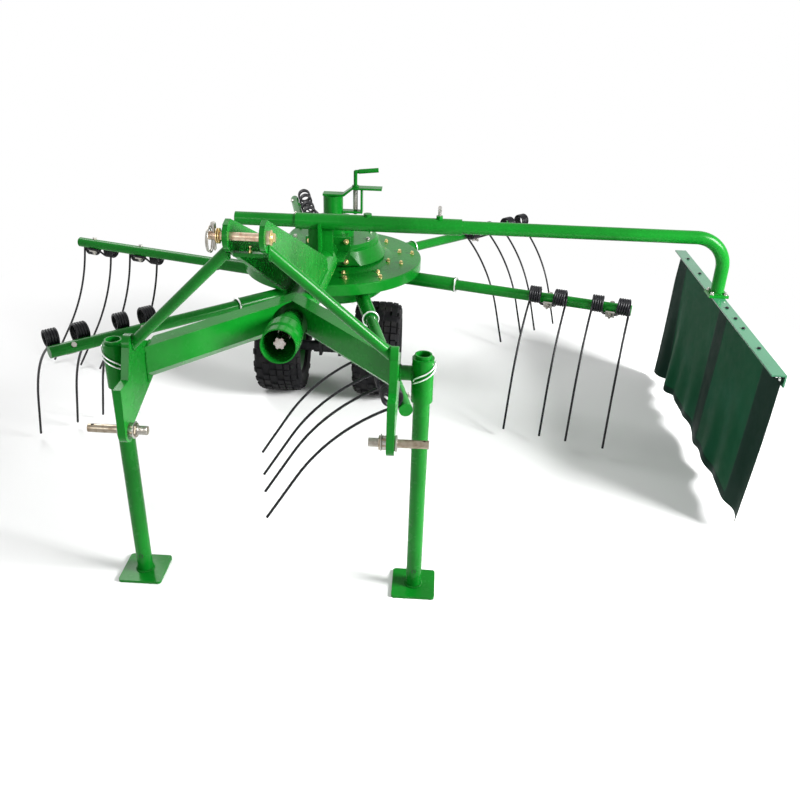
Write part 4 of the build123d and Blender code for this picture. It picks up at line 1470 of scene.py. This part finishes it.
    def _clip_line(self) -> list[Place]:
        """A clip's wire, which starts as the peg, climbs round the sleeve and comes back above itself.

        Returns:
            Its points, each as degrees round the leg from the front, distance from its axis and height.
        """
        reach, low, high = self.clip_r, self.clip_z, self.clip_back_z
        there = [(angle, reach, low + self.clip_climb * (angle + 50.0)) for angle in range(-40, 91, 10)]
        back = [(angle, reach, high + self.clip_climb * (angle + 50.0)) for angle in range(90, -31, -10)]
        peg = [(-52.0, 0.020, low), (-52.0, 0.030, low), (-50.0, reach, low)]
        bow = [(98.0, reach, 0.7330), (101.0, reach, 0.7375), (98.0, reach, 0.7420)]
        end = [(-38.0, reach, 0.7015), (-44.0, reach, 0.6980), (-46.0, reach, 0.6930)]
        return peg + there + bow + back + end


@dataclass(frozen=True)
class Gearbox:
    """The gearbox's flange bolts and cover bolts, and the crank's thread."""

    flange_bolts: tuple[float, float] = (0.072, 0.040)
    flange_face: float = 1.068
    drum_top: float = 0.650
    drum_bolts_r: float = 0.160
    crank: tuple[float, float] = (0.090, 1.554)
    thread: tuple[float, float] = (0.752, 0.836)
    spindle_r: float = 0.0086
    spindle_end_r: float = 0.0078
    pitch: float = 0.003
    chamfer: float = 0.001
    flange_bolt: HexBolt = HexBolt(across=0.0165, head=0.007, thread=0.0025)
    cover_bolt: HexBolt = HexBolt(across=0.013, head=0.006)
    cover_count: int = 8

    def build(self) -> None:
        """Models and dresses the gearbox's details."""
        self._flange()
        self._cover()
        self._crank()

    def _flange(self) -> None:
        """Four bolts through the two flanges."""
        across, down = self.flange_bolts
        bolt = self.flange_bolt.build("flange_bolts")
        places = []
        for x in (-across, across):
            for y in (-down, down):
                front = Matrix.Translation((x, y, self.flange_face)) @ Matrix.Rotation(math.pi, 4, "X")
                places.append(DriveLine.frame() @ front)
        bolts = Bench.copies(bolt, places, "flange_bolts")
        Bench.finish(bolts, Finishes.YELLOW, Body.ROOT, "zinc")

    def _cover(self) -> None:
        """The bolts of the drum's cover."""
        bolt = self.cover_bolt.build("cover_bolts")
        places = []
        for step in range(self.cover_count):
            angle = FULL_TURN * (step + 0.5) / self.cover_count
            x, y = self.drum_bolts_r * math.cos(angle), self.drum_bolts_r * math.sin(angle)
            places.append(Matrix.Translation(LAYOUT.at(x, Layout.ROTOR_BEHIND + y, self.drum_top)))
        bolts = Bench.copies(bolt, places, "cover_bolts")
        Bench.finish(bolts, Finishes.ZINC, Body.ROOT, "zinc")

    def _crank(self) -> None:
        """The spindle's bright thread inside its strap."""
        x, y = self.crank
        low, high = self.thread
        end, full, cone = self.spindle_end_r, self.spindle_r, self.chamfer
        profile = ((end, low), (full, low + cone), (full, high - cone), (end, high))
        sleeve = Bench.turned("spindle_thread", profile, 20)
        ridge = Bench.thread("ridge", full, self.pitch, low + cone * 2, high - cone * 2)
        spindle = Bench.join([sleeve, ridge], "spindle_thread")
        Bench.settle(spindle, Matrix.Translation(LAYOUT.at(x, y, 0)))
        Bench.finish(spindle, Finishes.ZINC, Body.ROOT, "zinc", 40.0)


@dataclass(frozen=True)
class Wheels:
    """The treaded tyres and the rims' bolts."""

    x: float = 0.200
    y: float = 1.430
    r: float = 0.198
    sides: int = 42
    block: float = 0.0075
    groove: float = 0.0026
    tread_from: float = 0.178
    rows: tuple[float, ...] = (-0.068, -0.042, 0.0, 0.042, 0.068)
    bolt: HexBolt = HexBolt(across=0.017, head=0.009, thread=0.005)
    bolt_count: int = 5
    bolts_r: float = 0.060
    disc_z: float = 0.005
    carcass: Pairs = (
        (0.0972, -0.0535), (0.1170, -0.0730), (0.1240, -0.0850), (0.1360, -0.0915), (0.1560, -0.0950),
        (0.1730, -0.0900), (0.1850, -0.0800), (0.1895, -0.0560), (0.1905, -0.0290), (0.1905, 0.0),
        (0.1905, 0.0290), (0.1895, 0.0560), (0.1850, 0.0800), (0.1730, 0.0900), (0.1560, 0.0950),
        (0.1360, 0.0915), (0.1240, 0.0850), (0.1170, 0.0730), (0.0972, 0.0535), (0.0972, -0.0535),
    )

    def build(self) -> None:
        """Models and dresses both wheels."""
        tyre = self._tyre()
        bolts = self._rim_bolts()
        for side, body in WHEELS:
            word = side.name.lower()
            hub = LAYOUT.at(side.value * self.x, self.y, self.r)
            place = Matrix.Translation(hub) @ Matrix.Rotation(side.value * math.pi / 2, 4, "Y")
            shown = Bench.copies(self._twin(tyre), [place], f"{word}_tyre_tread")
            Bench.finish(shown, Finishes.TYRE, body, "tyre_rubber", 28.0)
            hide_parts(f"{word}_tyre")
            nuts = Bench.copies(self._twin(bolts), [place], f"{word}_rim_bolts")
            Bench.finish(nuts, Finishes.ZINC, body, "zinc")
        bpy.data.objects.remove(tyre)
        bpy.data.objects.remove(bolts)

    @staticmethod
    def _twin(piece: bpy.types.Object) -> bpy.types.Object:
        """Copies a model.

        Args:
            piece: the model.

        Returns:
            The copy, with its own mesh.
        """
        twin = piece.copy()
        twin.data = piece.data.copy()
        bpy.context.scene.collection.objects.link(twin)
        return twin

    def _tyre(self) -> bpy.types.Object:
        """A tyre about Z.

        Returns:
            A turned carcass with staggered rows of blocks drawn out of it.
        """
        tyre = Bench.turned("tyre", self.carcass, self.sides)
        Bench.inset(tyre, self._is_block, self.groove, self.block, each=True)
        return tyre

    def _is_block(self, face: bpy.types.MeshPolygon) -> bool:
        """Whether a face of the carcass is drawn out as a block.

        Args:
            face: the face.

        Returns:
            True for every other face of the outer rows, and for two in three of the rows between.
        """
        spot = face.center
        if math.hypot(spot.x, spot.y) < self.tread_from:
            return False
        step = int(round(math.atan2(spot.y, spot.x) / FULL_TURN * self.sides - 0.5))
        row = sum(spot.z >= edge for edge in self.rows)
        return (step + row) % 3 != 0 if 0 < row < len(self.rows) else step % 2 == row % 2

    def _rim_bolts(self) -> bpy.types.Object:
        """The bolts on the rim's disc, about Z.

        Returns:
            The bolts as one piece.
        """
        places = []
        for step in range(self.bolt_count):
            angle = FULL_TURN * step / self.bolt_count
            x, y = self.bolts_r * math.cos(angle), self.bolts_r * math.sin(angle)
            places.append(Matrix.Translation((x, y, self.disc_z)))
        return Bench.copies(self.bolt.build("rim_bolts"), places, "rim_bolts")


@dataclass(frozen=True)
class Boom:
    """The boom's end plug, foot weld, plate bolts and bar screws, and the nut under its tee bolt."""

    y: float = 1.180
    z: float = 0.806
    left: float = -0.312
    drop: float = 1.468
    foot_top: float = 0.602
    plate_half: float = 0.035
    bar_top: float = 0.592
    bar_bolts: tuple[float, ...] = (0.700, 0.863, 0.950, 1.050, 1.417, 1.600)
    tee_x: float = 0.432
    plug: Pairs = ((0.0196, 0.012), (0.0196, 0.001), (0.0232, 0.0006), (0.0232, 0.0001))
    weld_r: float = 0.0250
    weld_up: float = 0.001
    weld: WeldBead = WeldBead(0.009, 0.005)
    plate_bolt: HexBolt = HexBolt(across=0.012, head=0.005, thread=0.003)
    bolt_edge: float = 0.011
    bar_screw: HexBolt = HexBolt(across=0.010, head=0.0035, washer=0.001)
    screw_x: float = 0.002
    nut_r: float = 0.0135
    nut: float = 0.011
    nut_edge: tuple[float, float] = (0.0018, 0.001)
    nut_rise: float = 0.0275

    def build(self) -> None:
        """Models and dresses the boom's details."""
        plug = Bench.turned("boom_plug", self.plug, 32)
        Bench.settle(plug, pointing(LAYOUT.at(self.left, self.y, self.z), Vector((1, 0, 0))))
        Bench.finish(plug, Finishes.GREEN, Body.BOOM, "green_paint")
        foot = LAYOUT.at(self.drop, self.y, self.foot_top + self.weld_up)
        seam = circle(pointing(foot, UP), self.weld_r, 30)
        weld = self.weld.build("boom_foot_weld", [seam])
        Bench.finish(weld, Finishes.WELD, Body.BOOM, "green_paint", 60.0)
        self._bolts()
        self._tee_nut()

    def _bolts(self) -> None:
        """The bolts of the foot plate and of the bar."""
        half = self.plate_half - self.bolt_edge
        places = []
        for x in (-half, half):
            for y in (-half, half):
                places.append(Matrix.Translation(LAYOUT.at(self.drop + x, self.y + y, self.foot_top)))
        bolts = Bench.copies(self.plate_bolt.build("plate_bolts"), places, "plate_bolts")
        Bench.finish(bolts, Finishes.ZINC, Body.BOOM, "zinc")
        x = self.drop + self.screw_x
        places = [Matrix.Translation(LAYOUT.at(x, y, self.bar_top)) for y in self.bar_bolts]
        screws = Bench.copies(self.bar_screw.build("bar_screws"), places, "bar_screws")
        Bench.finish(screws, Finishes.CASTING, Body.BOOM, "zinc")

    def _tee_nut(self) -> None:
        """The nut welded on the sleeve for the tee bolt, which rides on the frame."""
        nut = Bench.cylinder("tee_nut", self.nut_r, 0.0, self.nut, 6)
        Bench.inset(nut, lambda face: face.normal.z > 0.9, *self.nut_edge)
        Bench.settle(nut, Matrix.Translation(LAYOUT.at(self.tee_x, self.y, self.z + self.nut_rise)))
        Bench.finish(nut, Finishes.GREEN, Body.ROOT, "green_paint")


@dataclass(frozen=True)
class Curtain:
    """The swath curtain: a hung tarpaulin and its rivets.

    A wave along the cloth is given as its radians over the whole width, the radians that it starts at
    and its depth in metres.
    """

    bar_x: float = 1.468
    bar_half: float = 0.0225
    wall: float = 0.005
    bar_z: float = 0.592
    front: float = 0.509
    back: float = 1.716
    top_gap: float = 0.009
    height: float = 0.535
    cloth: float = 0.0022
    behind_bar: float = 0.004
    grid: tuple[int, int] = (84, 34)
    folds: Waves = ((9.0, 0.4, 0.012), (23.0, 1.0, 0.007), (51.0, 0.0, 0.003))
    hem_waves: Waves = ((11.0, 0.9, 0.010), (37.0, 0.0, 0.007))
    lean: float = 0.065
    corner_bulge: float = 0.045
    belly: float = 0.016
    pull: Place = (-0.62, 0.0, -9.79)
    frames: int = 25
    held: float = 0.020
    rivet: Pairs = ((0.0085, 0.0), (0.0085, 0.0010), (0.0050, 0.0014), (0.0046, 0.0030), (0.0022, 0.0042))
    rivet_behind: float = 0.0065
    rivets: Pairs = (
        (0.521, -0.020), (0.545, -0.022), (0.80, -0.021), (1.06, -0.021), (1.32, -0.021), (1.58, -0.021),
        (1.702, -0.021),
    )
    bands: Pairs = ((0.050, 0.055), (0.625, 0.048), (1.140, 0.078))

    def build(self) -> None:
        """Models and dresses the curtain."""
        self._cloth()
        self._rivets()

    def _cloth(self) -> None:
        """The tarpaulin, hung from its top edge by simulation."""
        width = self.back - self.front
        x = self.bar_x + self.bar_half - self.wall - self.behind_bar
        top = self.bar_z - self.top_gap
        Bench.clear()
        bpy.ops.mesh.primitive_grid_add(x_subdivisions=self.grid[0], y_subdivisions=self.grid[1], size=1.0)
        sheet = Bench.take("swath_curtain")
        for vertex in sheet.data.vertices:
            along = 0.5 - vertex.co.x
            down = 0.5 - vertex.co.y
            rise = self._waves(self.hem_waves, along) * down ** 4
            y = self.front + along * width
            vertex.co = LAYOUT.at(x + self._sway(along, down), y, top - down * self.height + rise)
        sheet.data.update()
        self._simulate(sheet, top)
        Bench.modify(sheet, "SOLIDIFY", thickness=self.cloth, offset=0.0)
        finish = Tarpaulin("swath_cloth", width, self.height, self.bands)
        Bench.finish(sheet, finish, Body.BOOM, "curtain_cloth", 60.0)
        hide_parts("curtain")

    @staticmethod
    def _waves(waves: Waves, along: float) -> float:
        """The sum of some waves at a place along the cloth."""
        return sum(depth * math.sin(along * often + start) for often, start, depth in waves)

    def _sway(self, along: float, down: float) -> float:
        """How far the cloth stands off its plane before it hangs.

        Args:
            along: the place along the bar, from 0 in front to 1 at the back.
            down: the place below it, from 0 at the top to 1 at the hem.

        Returns:
            The distance away from the rotor, in metres.
        """
        folds = self._waves(self.folds, along) * down ** 1.5
        bulge = self.corner_bulge * math.sin(down * math.pi) * along ** 6
        belly = self.belly * math.sin(min(1.0, down * 1.1) * math.pi * 0.8)
        return folds - self.lean * down - bulge - belly * (0.5 + 0.5 * math.sin(along * 5.0 + 0.7))

    def _simulate(self, sheet: bpy.types.Object, top: float) -> None:
        """Lets the cloth settle under its own weight, held along its top edge.

        Args:
            sheet: the cloth.
            top: the height of its top edge.
        """
        pins = sheet.vertex_groups.new(name="held")
        held = [vertex.index for vertex in sheet.data.vertices if vertex.co.z > top - self.held]
        pins.add(held, 1.0, "REPLACE")
        modifier = sheet.modifiers.new("cloth", "CLOTH")
        settings = {
            "quality": 8, "mass": 0.6, "tension_stiffness": 40, "compression_stiffness": 40,
            "shear_stiffness": 20, "bending_stiffness": 12, "air_damping": 4, "vertex_group_mass": "held",
        }
        for key, value in settings.items():
            setattr(modifier.settings, key, value)
        modifier.collision_settings.use_collision = False
        scene = bpy.context.scene
        scene.gravity = self.pull
        for step in range(1, self.frames + 1):
            scene.frame_set(step)
        Bench.only(sheet)
        bpy.ops.object.modifier_apply(modifier=modifier.name)
        scene.frame_set(1)
        sheet.vertex_groups.clear()

    def _rivets(self) -> None:
        """The bright rivets with their washers at the curtain's front corner and along its top."""
        rivet = Bench.turned("curtain_rivets", self.rivet, 16)
        x = self.bar_x + self.bar_half - self.wall - self.rivet_behind
        places = [pointing(LAYOUT.at(x, y, self.bar_z + z), Vector((-1, 0, 0))) for y, z in self.rivets]
        rivets = Bench.copies(rivet, places, "curtain_rivets")
        Bench.finish(rivets, Finishes.BRIGHT, Body.BOOM, "zinc")


@dataclass(frozen=True)
class Stage:
    """The pale floor, the soft studio lights and the camera at the photograph's view."""

    camera_at: Place = (0.4233, -1.7916, 1.6629)
    azimuth_deg: float = 2.18
    pitch_deg: float = 27.91
    roll_deg: float = 1.833
    lens: float = 37.58
    sensor: float = 36.0
    white: Colour = (0.92, 0.92, 0.92)
    floor_side: float = 60.0
    floor_drop: float = 0.0005
    middle: Place = (0.1, 1.1, 0.0)
    fade: tuple[float, float] = (1.3, 2.6)
    aim: Place = (0.2, 0.9, 0.4)
    lamps: tuple[tuple[str, Place, float, float], ...] = (
        ("key", (3.5, -0.3, 2.1), 1.4, 350.0),
        ("back", (-2.6, 3.6, 3.9), 2.0, 130.0),
        ("front", (-1.6, -3.2, 2.2), 1.2, 30.0),
    )
    sky: float = 0.36

    def build(self) -> None:
        """Sets the stage."""
        self._camera()
        self._floor()
        self._lights()
        self._world()
        bpy.context.scene.view_settings.view_transform = "Standard"

    def _camera(self) -> None:
        """The camera, from its heading, pitch and roll."""
        data = bpy.data.cameras.new("photo_view")
        data.lens = self.lens
        data.sensor_width = self.sensor
        camera = bpy.data.objects.new("photo_view", data)
        bpy.context.scene.collection.objects.link(camera)
        heading = math.radians(self.azimuth_deg)
        pitch = math.radians(self.pitch_deg)
        roll = math.radians(self.roll_deg)
        level = math.cos(pitch)
        ahead = Vector((-math.sin(heading) * level, math.cos(heading) * level, -math.sin(pitch)))
        right = Vector((math.cos(heading), math.sin(heading), 0))
        up = right.cross(ahead)
        across = math.cos(roll) * right + math.sin(roll) * up
        over = math.cos(roll) * up - math.sin(roll) * right
        turn = Matrix((across, over, -ahead)).transposed().to_4x4()
        camera.matrix_world = Matrix.Translation(LAYOUT.at(*self.camera_at)) @ turn
        bpy.context.scene.camera = camera

    def _floor(self) -> None:
        """A wide floor that shows white to the camera and keeps the shadow."""
        Bench.clear()
        bpy.ops.mesh.primitive_plane_add(size=self.floor_side, location=(0, 0, -self.floor_drop))
        floor = Bench.take("floor")
        recipe = Recipe.finish("pale_floor")
        matt = recipe.node("ShaderNodeBsdfDiffuse", sockets={"Color": self.white})
        bright = recipe.node("ShaderNodeEmission", sockets={"Color": (1.0, 1.0, 1.0), "Strength": 1.0})
        middle = tuple(LAYOUT.at(*self.middle))
        away = recipe.node("ShaderNodeVectorMath", {"operation": "DISTANCE"},
                           {0: recipe.place(), 1: middle}, "Value")
        share = recipe.looked_at().step(0.0, 1.0) * away.step(*self.fade)
        shader = recipe.node("ShaderNodeMixShader", sockets={0: share, 1: matt, 2: bright})
        recipe.node("ShaderNodeOutputMaterial", sockets={"Surface": shader})
        floor.data.materials.append(recipe.owner)

    def _lights(self) -> None:
        """A large soft light on the right, a weaker one behind and a faint one in front on the left."""
        for name, place, size, power in self.lamps:
            data = bpy.data.lights.new(name, "AREA")
            data.size = size
            data.energy = power
            lamp = bpy.data.objects.new(name, data)
            spot = LAYOUT.at(*place)
            aim = LAYOUT.at(*self.aim) - spot
            lamp.matrix_world = Matrix.Translation(spot) @ aim.to_track_quat("-Z", "Y").to_matrix().to_4x4()
            bpy.context.scene.collection.objects.link(lamp)

    def _world(self) -> None:
        """A pale sky: white to the camera and in reflections, softer as a light."""
        world = bpy.data.worlds.new("pale_sky")
        recipe = Recipe(world)
        ends = {"Value": recipe.looked_at(), "To Min": self.sky, "To Max": 1.0}
        strength = recipe.node("ShaderNodeMapRange", sockets=ends, out="Result")
        sky = recipe.node("ShaderNodeBackground", sockets={"Color": (1.0, 1.0, 1.0), "Strength": strength})
        recipe.node("ShaderNodeOutputWorld", sockets={"Surface": sky})
        bpy.context.scene.world = world


def clear_start_scene() -> None:
    """Removes what Blender's start-up scene holds besides the frame."""
    for thing in list(bpy.context.scene.objects):
        if thing.type in {"MESH", "LIGHT", "CAMERA"} and "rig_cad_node" not in thing:
            bpy.data.objects.remove(thing)


def main() -> None:
    """Builds the machine's looks, sub-assembly by sub-assembly."""
    logging.basicConfig(level=logging.INFO, format="%(name)s: %(message)s")
    clear_start_scene()
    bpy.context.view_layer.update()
    Stage().build()
    CadDress().apply()
    Headstock().build()
    Gearbox().build()
    Rotor().build()
    Wheels().build()
    Boom().build()
    Curtain().build()


if __name__ == "__main__":
    main()
